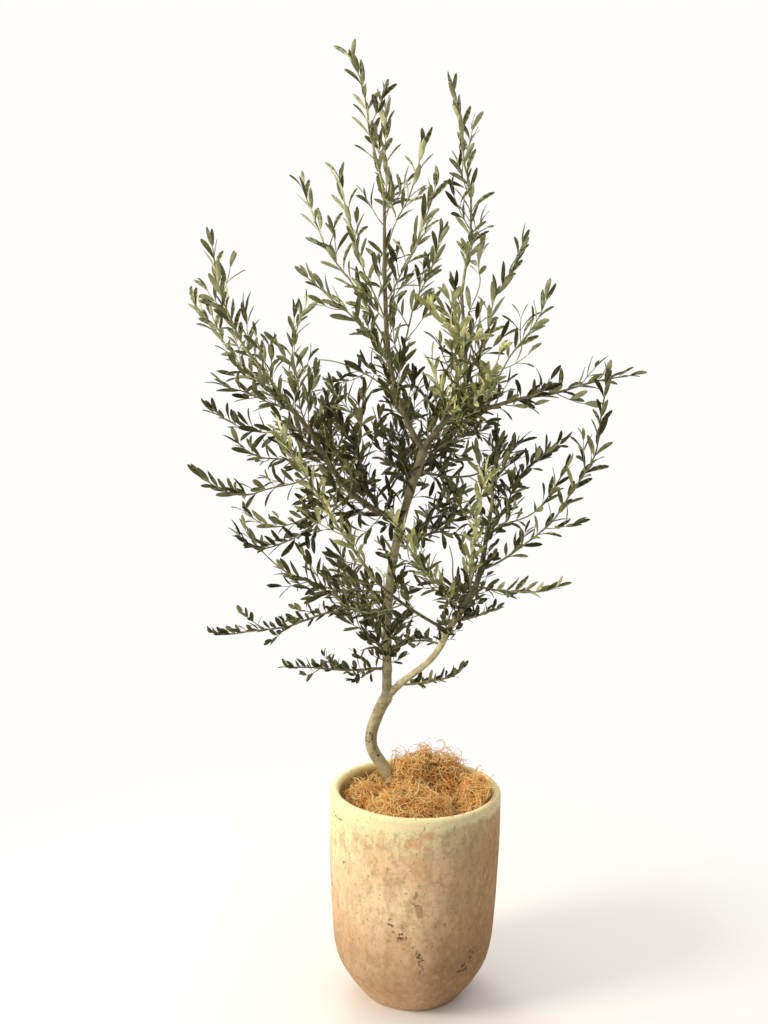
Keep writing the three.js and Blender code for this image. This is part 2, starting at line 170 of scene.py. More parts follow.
# %% Paths
class Path:
    """A finely sampled line, read by the share of its length from 0 to 1."""

    def __init__(self, points):
        self.points = points
        self.marks = [0.0]
        for near, far in zip(points, points[1:]):
            self.marks.append(self.marks[-1] + (far - near).length)
        self.length = self.marks[-1]

    def at(self, share):
        want = share * self.length
        i = min(max(bisect_right(self.marks, want) - 1, 0), len(self.points) - 2)
        span = self.marks[i + 1] - self.marks[i]
        return self.points[i].lerp(self.points[i + 1], (want - self.marks[i]) / span)

    def along(self, share, step=0.01):
        return (self.at(min(share + step, 1)) - self.at(max(share - step, 0))).normalized()

    def wavered(self, *how):
        """The path with the slow waver of real growth."""
        pairs = zip(self.points, self.marks)
        return Path([shaken(point, mark / self.length, *how) for point, mark in pairs])


def bridge(start, end, leave, arrive, t):
    """A point on the smooth way from start to end that leaves and arrives in given directions."""
    bend = (3 * (end - start) - 2 * leave - arrive) * t * t
    return start + leave * t + bend + (2 * (start - end) + leave + arrive) * t ** 3


def smooth_path(corners, per_span=40):
    """A centripetal Catmull-Rom curve through points given in millimetres."""
    p = [Vector(c) * MM for c in corners]
    p = [2 * p[0] - p[1], *p, 2 * p[-1] - p[-2]]
    points = []
    for a, b, c, d in zip(p, p[1:], p[2:], p[3:]):
        ab, bc, cd = (math.sqrt((v - u).length) for u, v in ((a, b), (b, c), (c, d)))
        leave = ((b - a) / ab - (c - a) / (ab + bc) + (c - b) / bc) * bc
        arrive = ((c - b) / bc - (d - b) / (bc + cd) + (d - c) / cd) * bc
        points += [bridge(b, c, leave, arrive, k / per_span) for k in range(per_span)]
    return Path([*points, p[-2]])


def bent_path(start, middle, end, steps=24):
    """A quadratic Bezier curve."""
    shares = [k / steps for k in range(steps + 1)]
    return Path([start * (1 - t) ** 2 + middle * (2 * t * (1 - t)) + end * t * t for t in shares])


def shaken(point, share, seed, fineness, reach):
    """A point of a line, moved by noise that fades toward both ends of the line."""
    drift = noise.noise_vector(point * fineness + Vector((seed, 0, 0)))
    return point + drift * (reach * math.sin(math.pi * share))


def chance(seed):
    """A value from 0 to 1 that is always the same for the same seed."""
    wave = math.sin(seed * 12.9898 + 4.1414) * 43758.5453
    return wave - math.floor(wave)


def reading(values, share):
    """Values at even steps, read in between."""
    at = min(share * (len(values) - 1), len(values) - 1.001)
    return values[int(at)] + (values[int(at) + 1] - values[int(at)]) * (at - int(at))


print("a path's halfway point", bent_path(Vector(), Vector((0, 0, 1)), Vector((1, 0, 1))).at(0.5))

# %% [markdown]
# Eight limbs carry the tree. The trunk leans left out of the mulch and comes back to a low fork;
# one stem goes on upward, the other swings out to the right. The paths and radii are those of the
# CAD source, so the bark lies where the solids are.

# %% The limbs: path and radii in millimetres
LIMBS = {
    "trunk": (
        [(-20, 62, 320), (-51, 59, 392), (-81, 56, 444), (-83, 55, 472), (-70, 52, 516), (-54, 50, 548)],
        [20, 14.5, 11.8, 11.2, 11.4, 11.8],
    ),
    "main_stem": (
        [(-55, 50, 542), (-56, 48, 617), (-57, 46, 690), (-51, 43, 785), (-33, 40, 882), (4, 35, 1012)],
        [9.5, 8.4, 8, 7.8, 7.6, 7.6],
    ),
    "low_limb": (
        [(-54, 50, 545), (-31, 44, 573), (27, 28, 628), (62, 4, 700), (101, -8, 773), (122, -18, 905)],
        [8, 7, 6.8, 6.4, 5.4, 3.6],
    ),
    "leader": (
        [(4, 35, 1010), (-18, 30, 1043), (-48, 22, 1114), (-63, 16, 1188), (-70, 10, 1291), (-74, 5, 1443)],
        [6.4, 5.6, 4.6, 3.6, 3],
    ),
    "right_bough": (
        [(4, 35, 1010), (20, 24, 1038), (42, 12, 1064), (66, 0, 1074), (92, -10, 1084)],
        [6.2, 5.8, 5.4, 4.6],
    ),
    "second_leader": ([(62, 2, 1073), (74, -2, 1120), (72, -6, 1180), (62, -10, 1285)], [4.2, 3.6, 3]),
    "left_bough": (
        [(-33, 40, 880), (-91, 20, 907), (-142, 6, 954), (-207, -6, 1055), (-242, -10, 1098)],
        [6, 5.2, 4.4, 3.6],
    ),
    "crossing_bough": ([(56, 8, 682), (1, -25, 721), (-44, -55, 758), (-80, -75, 793)], [4.8, 4.2, 3.6]),
}
limb_paths = {name: smooth_path(corners) for name, (corners, radii) in LIMBS.items()}


def limb_radius(limb, share):
    return reading(LIMBS[limb][1], share) * MM


def on_limb(limb, height, steps=400):
    """The share of the limb's length at which it first reaches a height in millimetres."""
    path = limb_paths[limb]
    shares = (k / steps for k in range(steps + 1))
    return next((s for s in shares if path.at(s).z >= height * MM), 1.0)


print("metres of limb", round(sum(p.length for p in limb_paths.values()), 2))

# %% [markdown]
# The crown is 49 leafy shoots, each standing for one foliage mass of the CAD model. Their tips give
# the crown's outline. The photo shows some as dense sprays and others as nearly plain whips, so a
# row also says how bushy its shoot is; one that doesn't is fully bushy. The rows are those of the
# CAD source, apart from five that follow the photo a little closer.

# %% The foliage masses, by limb
MASS_ROWS = {  # height at which the stem leaves its limb, furthest tip, bow in X and Z, bushiness
    "leader": {
        "tip_shoot": (1443, (-140, 0, 1700), (5, 0), 0.2),
        "tip_side": (1388, (-80, 65, 1655), (5, 5), 0.12),
        "high_right": (1350, (-3, -70, 1548), (0, -12), 0.15),
        "high_back": (1330, (-60, 240, 1480), (0, 25), 0.25),
        "mid_right": (1270, (15, -80, 1485), (10, -10), 0.35),
        "high_left": (1235, (-155, -60, 1500), (-10, 10), 0.12),
        "left_spire": (1200, (-230, 50, 1495), (-15, 10), 0.15),
        "low_left": (1165, (-220, -120, 1315), (-5, 20), 0.28),
        "low_right": (1145, (40, 130, 1425), (0, -5), 0.5),
        "core_left_high": (1095, (-225, 190, 1160), (0, 25), 0.8),
    },
    "second_leader": {
        "second_spire": (1285, (30, -10, 1650), (24, -5), 0.3),
        "second_side": (1230, (110, 190, 1400), (5, 0), 0.12),
        "right_high": (1130, (185, 60, 1405), (0, 10), 0.15),
    },
    "right_bough": {
        "right_upper": (1079, (215, -60, 1305), (15, 10), 0.3),
        "right_long": (1084, (385, -40, 1155), (20, 10), 0.4),
        "front_high": (1050, (20, -200, 1290), (30, 10), 0.85),
        "front_right": (1066, (110, -230, 1205), (20, -10), 0.4),
    },
    "main_stem": {
        "back_right": (1002, (150, 280, 1130), (10, -25), 0.75),
        "right_mid": (970, (200, 100, 1040), (10, -30), 0.7),
        "back_high": (935, (-60, 300, 1110), (0, -25)),
        "core_right": (850, (70, 210, 985), (35, -45)),
        "left_back": (745, (-345, 120, 870), (-20, -40), 0.55),
        "left_low": (735, (-390, -40, 700), (-60, -30), 0.45),
        "left_rise": (650, (-160, 190, 820), (-5, -5), 0.65),
        "left_lowest": (600, (-265, -30, 620), (5, 0), 0.6),
    },
    "low_limb": {
        "right_core": (905, (145, 170, 1095), (5, 0), 0.75),
        "right_rise": (868, (262, -40, 1018), (14, -14), 0.25),
        "right_inner": (860, (284, 130, 1022), (-6, 30), 0.2),
        "right_sweep": (800, (310, -60, 1180), (50, -50), 0.12),
        "right_low": (770, (255, -110, 805), (5, -14), 0.3),
        "front_bright": (752, (105, -180, 1015), (-10, 0), 0.3),
        "back_low": (735, (60, 220, 830), (0, -20)),
        "right_lowest": (705, (155, -90, 755), (0, 0), 0.4),
        "front_centre": (722, (-60, -170, 930), (-15, 10), 0.7),
        "low_centre": (655, (-45, 90, 625), (0, 10), 0.4),
        "fork_right": (572, (100, -20, 645), (8, -15), 0.2),
    },
    "crossing_bough": {
        "crossing": (793, (-250, -190, 1075), (-10, 15), 0.4),
        "front_low": (745, (-150, -230, 800), (0, -20), 0.35),
    },
    "left_bough": {
        "core_front": (915, (-75, -190, 1170), (-15, 20)),
        "left_third": (935, (-325, -120, 895), (-20, -58), 0.22),
        "left_second": (950, (-345, 90, 905), (-5, -50), 0.25),
        "core_left": (970, (-170, 230, 1120), (-15, -15)),
        "left_long": (990, (-410, -40, 985), (-5, -50), 0.2),
        "left_fourth": (1008, (-330, -110, 1050), (-10, -25), 0.3),
        "left_fifth": (1030, (-405, 70, 1085), (-10, -10), 0.2),
        "left_inner": (1045, (-205, 120, 1285), (-25, 5), 0.7),
        "left_small": (1078, (-355, -120, 1140), (-15, 0), 0.3),
        "left_outer": (1062, (-425, 80, 1285), (-20, 5), 0.42),
        "left_spire_outer": (1098, (-365, -30, 1390), (-30, 0), 0.5),
    },
}
Mass = namedtuple("Mass", "limb height tip bow bushy", defaults=[1.0])
MASSES = {
    name: Mass(limb, *row) for limb, rows in MASS_ROWS.items() for name, row in rows.items()
}
LOW, MIDDLE, HIGH = 780, 920, 1270  # heights of tips that part the crown, in millimetres
INNER = ("back", "core", "low_centre", "right_mid", "left_rise")  # in the names of inner masses


def zone_of(name):
    """Where in the crown a mass lies."""
    height = MASSES[name].tip[2]
    if height < LOW:
        return "low"
    if any(word in name for word in INNER):
        return "inner"
    if height > HIGH:
        return "high"
    return "middle" if height < MIDDLE else "outer"


print("foliage masses", len(MASSES))

# %% [markdown]
# Each mass is one leafy shoot: a stem that leaves its limb, bows, and ends just short of the
# mass's furthest tip, with side twigs at turns round it, as on the CAD solids. The CAD has room
# for a few big leaves on a few twigs; here the same rule runs on with closer, finer twigs of the
# same reach. Painting twigs by hand would also work, but a rule with a fixed seed gives the same
# tree every time.

# %% The growing rule
LEAF = 48 * MM  # length of a full-grown leaf
TIP_LEAF = 0.72  # share of a leaf that passes the stem's tip
TWIG_ANGLE = 0.78
TURN = 2.4  # radians from one side twig to the next
KNEE, END = 0.55, 0.9  # shares of a side twig's length at which it bends and ends
AHEAD, RISE = 0.12, 0.08  # how far its end bends along the stem and up


def stem_path(mass):
    start = limb_paths[mass.limb].at(on_limb(mass.limb, mass.height))
    end = Vector(mass.tip) * MM
    middle = start.lerp(end, 0.5) + Vector((2 * mass.bow[0], 0, 2 * mass.bow[1])) * MM
    end -= (end - middle).normalized() * TIP_LEAF * LEAF
    return bent_path(start, middle, end)


def sideways(along, turn):
    """The direction square to a twig at a turn round it."""
    right = along.cross(UP).normalized()
    return right * math.cos(turn) + right.cross(along) * math.sin(turn)


def twig_path(stem, share, turn, length, angle=TWIG_ANGLE):
    """A side twig that leaves the stem at a slant and bends forward and up."""
    foot = stem.at(share)
    along = stem.along(share)
    slant = along * math.cos(angle) + sideways(along, turn) * math.sin(angle)
    knee = foot + slant * (KNEE * length)
    end = foot + slant * (END * length) + along * (AHEAD * length) + UP * (RISE * length)
    return bent_path(foot, knee, end, 12)


print("metres of stem", round(sum(stem_path(m).length for m in MASSES.values()), 1))

# %% [markdown]
# The photo shows sky between the boughs in some places. Leaves could be taken out of the finished
# crown there, but then bare twigs would cross the gaps. So the places are told to the growing
# rule: each is a round spot on the upright plane through the pot's middle, as seen from where the
# camera stands, and no twig or leaf grows in front of one or behind it.

# %% Openings in the crown
VIEWER = Vector((-0.0659, -2.115, 1.215))  # where the camera stands
OPENINGS = [  # across, up and reach in millimetres
    (40, 830, 34), (52, 795, 28), (196, 952, 16), (-85, 1392, 34), (-155, 1175, 44), (-89, 1123, 22),
    (73, 967, 20), (-87, 996, 22), (132, 1158, 20), (140, 1063, 26), (190, 892, 20), (95, 1300, 18),
    (-262, 799, 20), (-148, 695, 20), (-60, 1060, 18), (-27, 1218, 18), (-357, 1180, 18),
    (97, 1276, 20),
]


def in_opening(point):
    """True where the point lies on the line from the camera through an opening."""
    seen = VIEWER + (point - VIEWER) * (VIEWER.y / (VIEWER.y - point.y))
    return any(math.hypot(seen.x / MM - x, seen.z / MM - z) < reach for x, z, reach in OPENINGS)


print("openings", len(OPENINGS))

# %% Stems and their side twigs
TWIG_EVERY = 13 * MM
TWIG_FROM, TWIG_TO = 0.1, 0.78
TWIG_CROWDING = 1.6  # over 1, side twigs stand closer near the stem's foot
TWIG_SHARE = 0.34  # length of the lowest side twig as a share of the stem
TWIG_LEAST, TWIG_MOST = 22 * MM, 92 * MM
TWIG_FOOT = 1.1 * MM  # radius
STEM_WAVER = (11, 12 * MM)  # fineness and reach
GROWN_OUT, GROWN_OFF = 0.9, 0.36  # a stem's radius at a limb's tip and at its side, as shares
Spray = namedtuple("Spray", "mass kind path foot turn")
sprays = []
for index, (name, mass) in enumerate(MASSES.items()):
    stem = stem_path(mass).wavered(index, *STEM_WAVER)
    share = on_limb(mass.limb, mass.height)
    foot = limb_radius(mass.limb, share) * (GROWN_OUT if share > 0.99 else GROWN_OFF)
    sprays.append(Spray(name, "stem", stem, foot, index * 1.0))
    count = max(2, round(stem.length * (TWIG_TO - TWIG_FROM) / TWIG_EVERY * mass.bushy))
    for i in range(count):
        u = TWIG_FROM + (TWIG_TO - TWIG_FROM) * ((i + 0.5) / count) ** TWIG_CROWDING
        longest = TWIG_SHARE * (1 - 0.5 * u) * (0.6 + 0.7 * chance(index * 31 + i))
        length = max(TWIG_LEAST, min(TWIG_MOST, longest * stem.length)) * (0.5 + 0.5 * mass.bushy)
        twig = twig_path(stem, u, TURN * i + index, length)
        if not (in_opening(twig.at(0.5)) or in_opening(twig.at(1))):
            sprays.append(Spray(name, "twig", twig, TWIG_FOOT, i * 1.3))
print("stems and twigs", len(sprays))

# %% [markdown]
# A real olive also bears short shoots straight on its limbs, which the CAD has no room for. They
# fill the inside of the crown. Those on the low limb are the smallest. Each belongs to the mass
# whose stem leaves the limb nearest to it.

# %% Spurs on the limbs
SPUR_FOOT = 1.2 * MM
SPURS = [  # limb, from and to along it, number, longest in millimetres, angle off the limb
    ("low_limb", 0.37, 0.98, 64, 26, 1.25),
    ("main_stem", 0.3, 0.95, 10, 60, TWIG_ANGLE),
    ("main_stem", 0.15, 0.28, 10, 55, 1.2),
    ("main_stem", 0.14, 0.21, 7, 58, 1.35),
    ("leader", 0.25, 0.97, 16, 60, TWIG_ANGLE),
    ("leader", 0.06, 0.36, 12, 90, TWIG_ANGLE),
    ("second_leader", 0.1, 0.95, 8, 60, TWIG_ANGLE),
    ("right_bough", 0.3, 0.95, 7, 60, TWIG_ANGLE),
    ("right_bough", 0.1, 0.9, 12, 90, TWIG_ANGLE),
    ("left_bough", 0.2, 0.97, 20, 60, TWIG_ANGLE),
    ("left_bough", 0.05, 0.4, 16, 80, 1.3),
    ("crossing_bough", 0.35, 0.97, 9, 50, TWIG_ANGLE),
]
for order, (limb, low, high, count, longest, angle) in enumerate(SPURS):
    kind = "small spur" if limb == "low_limb" else "spur"
    homes = {name: on_limb(limb, mass.height) for name, mass in MASSES.items() if mass.limb == limb}
    for i in range(count):
        share = low + (high - low) * (i + 0.5) / count
        home = min(homes, key=lambda name: abs(homes[name] - share))
        length = longest * (0.45 + 0.55 * chance(order * 17 + i)) * MM
        twig = twig_path(limb_paths[limb], share, TURN * i + order, length, angle)
        if not in_opening(twig.at(1)):
            sprays.append(Spray(home, kind, twig, SPUR_FOOT, i * 1.7))
print("sprays", len(sprays), "metres", round(sum(s.path.length for s in sprays), 1))

# %% [markdown]
# Geometry Nodes follow paths, so the rule's lines go to them as meshes of edges, with the
# thickness, the first turn and the leaf size of each line as attributes on its points. Leaves are
# small low down and on the low limb's spurs. A point that lies in an opening gets leaf size 0.

# %% A mesh of lines for Geometry Nodes
SKELETON_STEP = 9 * MM
TREMOR = (30, 1.6 * MM)  # fineness and reach
STEM_TIP = 1.0 * MM  # radius at the end of a stem
TWIG_TIP = 0.7 * MM
ZONE_SIZES = {"low": 0.52, "inner": 0.94, "high": 1.0, "middle": 0.8, "outer": 0.9}
SMALL_SIZE = 0.5  # size of the leaves on small spurs
OFF_STEM = 0.9  # size of the leaves on twigs against those on stems


def in_scene(name, data):
    """A new object in the scene."""
    made = bpy.data.objects.new(name, data)
    bpy.context.scene.collection.objects.link(made)
    return made


def leaf_size(spray):
    if spray.kind == "small spur":
        return SMALL_SIZE
    return ZONE_SIZES[zone_of(spray.mass)] * (1.0 if spray.kind == "stem" else OFF_STEM)


def spray_row(number, spray):
    """A spray's points, radii, first turn and leaf sizes."""
    count = max(4, round(spray.path.length / SKELETON_STEP))
    shares = [k / count for k in range(count + 1)]
    tip = STEM_TIP if spray.kind == "stem" else TWIG_TIP
    radii = [spray.foot + (tip - spray.foot) * s for s in shares]
    line = [shaken(spray.path.at(s), s, number, *TREMOR) for s in shares]
    size = leaf_size(spray)
    return line, radii, spray.turn, [0.0 if in_opening(point) else size for point in line]


def rows_where(wanted):
    """The rows of those sprays for which a test of number and spray holds."""
    return [spray_row(n, s) for n, s in enumerate(sprays) if wanted(n, s)]


def lines_object(name, rows):
    """Rows of (points, radii, turn, sizes) as one object of edges."""
    points, edges, girth, turn, size = [], [], [], [], []
    for line, radii, first_turn, leaf_sizes in rows:
        start = len(points)
        points += [tuple(p) for p in line]
        edges += [(start + k, start + k + 1) for k in range(len(line) - 1)]
        girth += radii
        turn += [first_turn] * len(line)
        size += leaf_sizes
    mesh = bpy.data.meshes.new(name)
    mesh.from_pydata(points, edges, [])
    for label, values in (("girth", girth), ("turn", turn), ("size", size)):
        mesh.attributes.new(label, "FLOAT", "POINT").data.foreach_set("value", values)
    return in_scene(name, mesh)


print("points in the first stem", len(spray_row(0, sprays[0])[0]))

# %% [markdown]
# A growing rule in Geometry Nodes is a node tree with named inputs for its sizes, put on an object
# as a modifier. Its result is then kept as a plain mesh, and the object with the modifier goes.
# Drawing the nodes by hand in the editor would do as well, but a script can be read and run again.

# %% Rules in Geometry Nodes
def frozen(source, name):
    """What an object's modifiers make of it, as a plain mesh object in its place."""
    evaluated = source.evaluated_get(bpy.context.evaluated_depsgraph_get())
    mesh = bpy.data.meshes.new_from_object(evaluated)
    mesh.name = name
    bpy.data.objects.remove(source)
    print(name, "triangles", sum(len(p.vertices) - 2 for p in mesh.polygons))
    return in_scene(name, mesh)


class Rule(Graph):
    """A tree of Geometry Nodes with named inputs, and the nodes that several rules need."""

    def __init__(self, name, **inputs):
        super().__init__(bpy.data.node_groups.new(name, "GeometryNodeTree"))
        new_socket = self.tree.interface.new_socket
        new_socket("Geometry", in_out="OUTPUT", socket_type="NodeSocketGeometry")
        for kind, labels in {"Geometry": ["Geometry"], **inputs}.items():
            for label in labels:
                new_socket(label, in_out="INPUT", socket_type="NodeSocket" + kind)
        entry = self.tree.nodes.new("NodeGroupInput")
        self.given = {s.name: Wire(self, s) for s in entry.outputs if s.name}

    def stored(self, name, kind="FLOAT"):
        """A value that the mesh keeps under a name."""
        return self.add("GeometryNodeInputNamedAttribute", {"Name": name}, data_type=kind)

    def draw(self, kind, low, high, seed):
        """A random FLOAT, INT or FLOAT_VECTOR between two."""
        tail = {"FLOAT_VECTOR": "", "FLOAT": "_001", "INT": "_002"}[kind]
        values = {"Min" + tail: low, "Max" + tail: high, "Seed": seed}
        return self.add("FunctionNodeRandomValue", values, "Value" + tail, data_type=kind)

    def stand(self, points, shapes, which, rotation, scale, chosen=True):
        """One of a collection's shapes on each chosen point."""
        held = {"Collection": shapes, "Separate Children": True, "Reset Children": True}
        values = {
            "Points": points,
            "Selection": chosen,
            "Instance": self.add("GeometryNodeCollectionInfo", held),
            "Pick Instance": True,
            "Instance Index": which,
            "Rotation": rotation,
            "Scale": scale,
        }
        return self.add("GeometryNodeInstanceOnPoints", values)

    def realized(self, geometry):
        return self.add("GeometryNodeRealizeInstances", {"Geometry": geometry})

    def dressed(self, geometry, material, chosen=True):
        values = {"Geometry": geometry, "Material": self.given[material], "Selection": chosen}
        return self.add("GeometryNodeSetMaterial", values)

    def ends(self, geometry):
        self.add("NodeGroupOutput", {0: geometry})
        print(self.tree.name, "takes", len(self.tree.nodes), "nodes")
        return self

    def grow(self, source, values, name):
        """The rule's result on an object. Its inputs are set before it is first worked out."""
        modifier = source.modifiers.new("grow", "NODES")
        modifier.node_group = self.tree
        for item in self.tree.interface.items_tree:
            if item.in_out == "INPUT" and item.name in values:
                modifier[item.identifier] = values[item.name]
        return frozen(source, name)


# %% [markdown]
# Colours below are named as they look on a screen, from 0 to 255, and turned into the linear
# values that Blender's shaders work with. A finish is built up as a painter would: a first colour,
# and then coat over coat, each with a mask that says where it lies.

# %% Finishes: a shader graph, colours and coats
def tone(red, green, blue):
    """A colour as it shows on a screen, in the shader's linear values."""
    return tuple(((v / 255 + 0.055) / 1.055) ** 2.4 for v in (red, green, blue)) + (1.0,)


class Finish(Graph):
    """A material whose Principled shader is filled in by name, and its colour coat by coat."""

    def __init__(self, name, colour, roughness=0.6, specular=0.4):
        self.material = bpy.data.materials.new(name)
        self.material.use_nodes = True
        super().__init__(self.material.node_tree)
        self.shader = self.tree.nodes["Principled BSDF"]
        self.place = self.add("ShaderNodeTexCoord", out="Object")
        self.colour = colour
        self.set("Base Color", colour)
        self.set("Roughness", roughness)
        self.set("Specular IOR Level", specular)

    def set(self, socket, value):
        if isinstance(value, Wire):
            self.tree.links.new(value.socket, self.shader.inputs[socket])
        else:
            self.shader.inputs[socket].default_value = value

    def noise(self, scale, detail=3.0, at=None, roughness=0.55):
        values = {"Vector": at or self.place, "Scale": scale, "Detail": detail, "Roughness": roughness}
        return self.add("ShaderNodeTexNoise", values)

    def mix(self, factor, under, over):
        values = {"Factor_Float": factor, "A_Color": under, "B_Color": over}
        return self.add("ShaderNodeMix", values, "Result_Color", data_type="RGBA")

    def coat(self, factor, over):
        """One more colour over the finish, as far as the factor goes."""
        self.colour = self.mix(factor, self.colour, over)
        self.set("Base Color", self.colour)

    def relief(self, height, distance, strength=1.0):
        values = {"Height": height, "Distance": distance, "Strength": strength}
        self.set("Normal", self.add("ShaderNodeBump", values))


print("white is", tone(255, 255, 255))

# %% [markdown]
# Shoots of the year are smooth and pale grey-green, lightly flecked. Twigs are tubes along the
# rule's lines: Curve to Mesh with a thickness read from the line's attribute. A Bevel on a curve
# object would do it too, but the nodes keep every size a named input.

# %% The fine wood: older stems, paler shoots and twigs
def tube_rule():
    rule = Rule("wood along lines", Int=["Sides"], Material=["Bark"])
    line = rule.add("GeometryNodeMeshToCurve", {"Mesh": rule.given["Geometry"]})
    values = {"Resolution": rule.given["Sides"], "Radius": 1.0}
    ring = rule.add("GeometryNodeCurvePrimitiveCircle", values)
    values = {"Curve": line, "Profile Curve": ring, "Scale": rule.stored("girth"), "Fill Caps": True}
    tube = rule.add("GeometryNodeCurveToMesh", values)
    return rule.ends(rule.dressed(rule.realized(tube), "Bark"))


tubes = tube_rule()


def shoot_finish(name, dark, light):
    finish = Finish(name, tone(*dark), roughness=0.62, specular=0.3)
    mottle = finish.noise(120, 4)
    fleck = finish.noise(700, 2).between(0.62, 0.7)
    finish.coat(mottle.between(0.35, 0.65), tone(*light))
    finish.coat(fleck * 0.5, tone(78, 66, 50))
    finish.relief(mottle, 0.3 * MM)
    return finish.material


def fine_wood(name, wanted, sides, dark, light):
    values = {"Sides": sides, "Bark": shoot_finish(name + "_bark", dark, light)}
    return tubes.grow(lines_object(name + "_lines", rows_where(wanted)), values, name)


# Stems at the front and of the crossing mass are young shoots; at the top of the crown their paler bark is
# young growth and partly a painted light.
young_and_top_lit = {m for m, mass in MASSES.items() if mass.tip[2] > HIGH or m.startswith(("front", "crossing"))}
stems = fine_wood(
    "stems", lambda n, s: s.kind == "stem" and s.mass not in young_and_top_lit, 7, (122, 112, 80), (172, 162, 122)
)
shoots = fine_wood(
    "shoots", lambda n, s: s.kind == "stem" and s.mass in young_and_top_lit, 7, (140, 136, 92), (196, 196, 142)
)
twigs = fine_wood("twigs", lambda n, s: s.kind != "stem", 5, (140, 136, 98), (192, 188, 146))

# %% [markdown]
# An olive leaf is a narrow blade, about five times as long as it is wide, folded a little along
# its rib and curved back at the tip, dark and waxy above, silvery beneath. A flat card would need
# an image for its outline, so each blade is a closed mesh of a few faces with the outline cut
# into it. Three blades, more or less bent and twisted, keep the sprays from looking stamped.

# %% Three leaf blades
LEAF_HALF_WIDTH = 5.2 * MM
LEAF_OUTLINE = [  # shares of the length and of the half width
    (0.0, 0.1), (0.08, 0.14), (0.25, 0.66), (0.47, 0.97), (0.7, 1.0), (0.88, 0.74), (0.97, 0.36)
]
RIB = 0.55 * MM  # half the thickness at the rib
FOLD = 0.3  # how far the margins rise for each millimetre of width
BLADES = {"blade_a": (0.1, 0.5, -0.3), "blade_b": (0.2, -0.9, 0.2), "blade_c": (0.32, 1.1, 0.0)}


def blade_points(bend, twist, blunt):
    """Rings of left margin, rib, right margin and underside, and the tip's one point."""
    points = []
    for at, width in LEAF_OUTLINE:
        half = width * LEAF_HALF_WIDTH * (1 + blunt * (at - 0.5))
        rib = RIB * (1 - 0.6 * at)
        ring = [Vector((0, half, FOLD * half)), Vector((0, 0, rib))]
        ring += [Vector((0, -half, FOLD * half)), Vector((0, 0, -rib))]
        spin = Matrix.Rotation(twist * at, 3, "X")
        points += [spin @ p + Vector((at * LEAF, 0, -bend * LEAF * at * at)) for p in ring]
    return [*points, Vector((LEAF, 0, -bend * LEAF))]


def blade(name, *shape):
    """A leaf along +X with its upper face toward +Z and its foot at the origin."""
    points = blade_points(*shape)
    tip = len(points) - 1
    faces = [(0, 1, 2, 3)]
    under = [False]
    for low in range(0, tip, 4):
        for side in range(4):
            after = (side + 1) % 4
            beyond = (tip,) if low + 4 == tip else (low + 4 + side, low + 4 + after)
            faces.append((low + side, *beyond, low + after))
            under.append(side > 1)
    mesh = bpy.data.meshes.new(name)
    mesh.from_pydata([tuple(p) for p in points], [], faces)
    mesh.attributes.new("underside", "BOOLEAN", "FACE").data.foreach_set("value", under)
    mesh.polygons.foreach_set("use_smooth", [True] * len(faces))
    margins = mesh.attributes.new("sharp_edge", "BOOLEAN", "EDGE")
    for edge in mesh.edges:
        margins.data[edge.index].value = all(v % 2 == 0 and v != tip for v in edge.vertices)
    return bpy.data.objects.new(name, mesh)


blades = bpy.data.collections.new("leaf blades")
for name, shape in BLADES.items():
    blades.objects.link(blade(name, *shape))

# %% [markdown]
# Leaves stand in pairs, each pair a quarter turn on from the last. The nodes resample every line
# to the spacing of the pairs, work out from the line's direction where each leaf points, turn its
# face toward the tip and the sky, and set an instance there. Toward the tip of a line the leaves
# point more and more ahead. A small leaf is nearly as broad as a large one.

# %% The rule for leaves along lines
LEAF_SIZES = [
    "Spacing", "Slant at foot", "Slant at tip", "Upright", "Skyward", "Least size", "Bare share"
]
GREATEST_SIZE = 1.05
NO_LEAF = 0.3  # points with a leaf size under this stay bare
BREADTH = 0.95  # of every leaf, however long
STRAY = (0.2, 0.2, 0.2)  # how far a leaf may point off its way
ROLL = (0.9, 0.9, 0.4)  # how far its face may turn off its way
SWELL = 0.16  # how much larger leaves are in the middle of a line
END_SIZE = 0.86


def less(arrow):
    return tuple(-v for v in arrow)


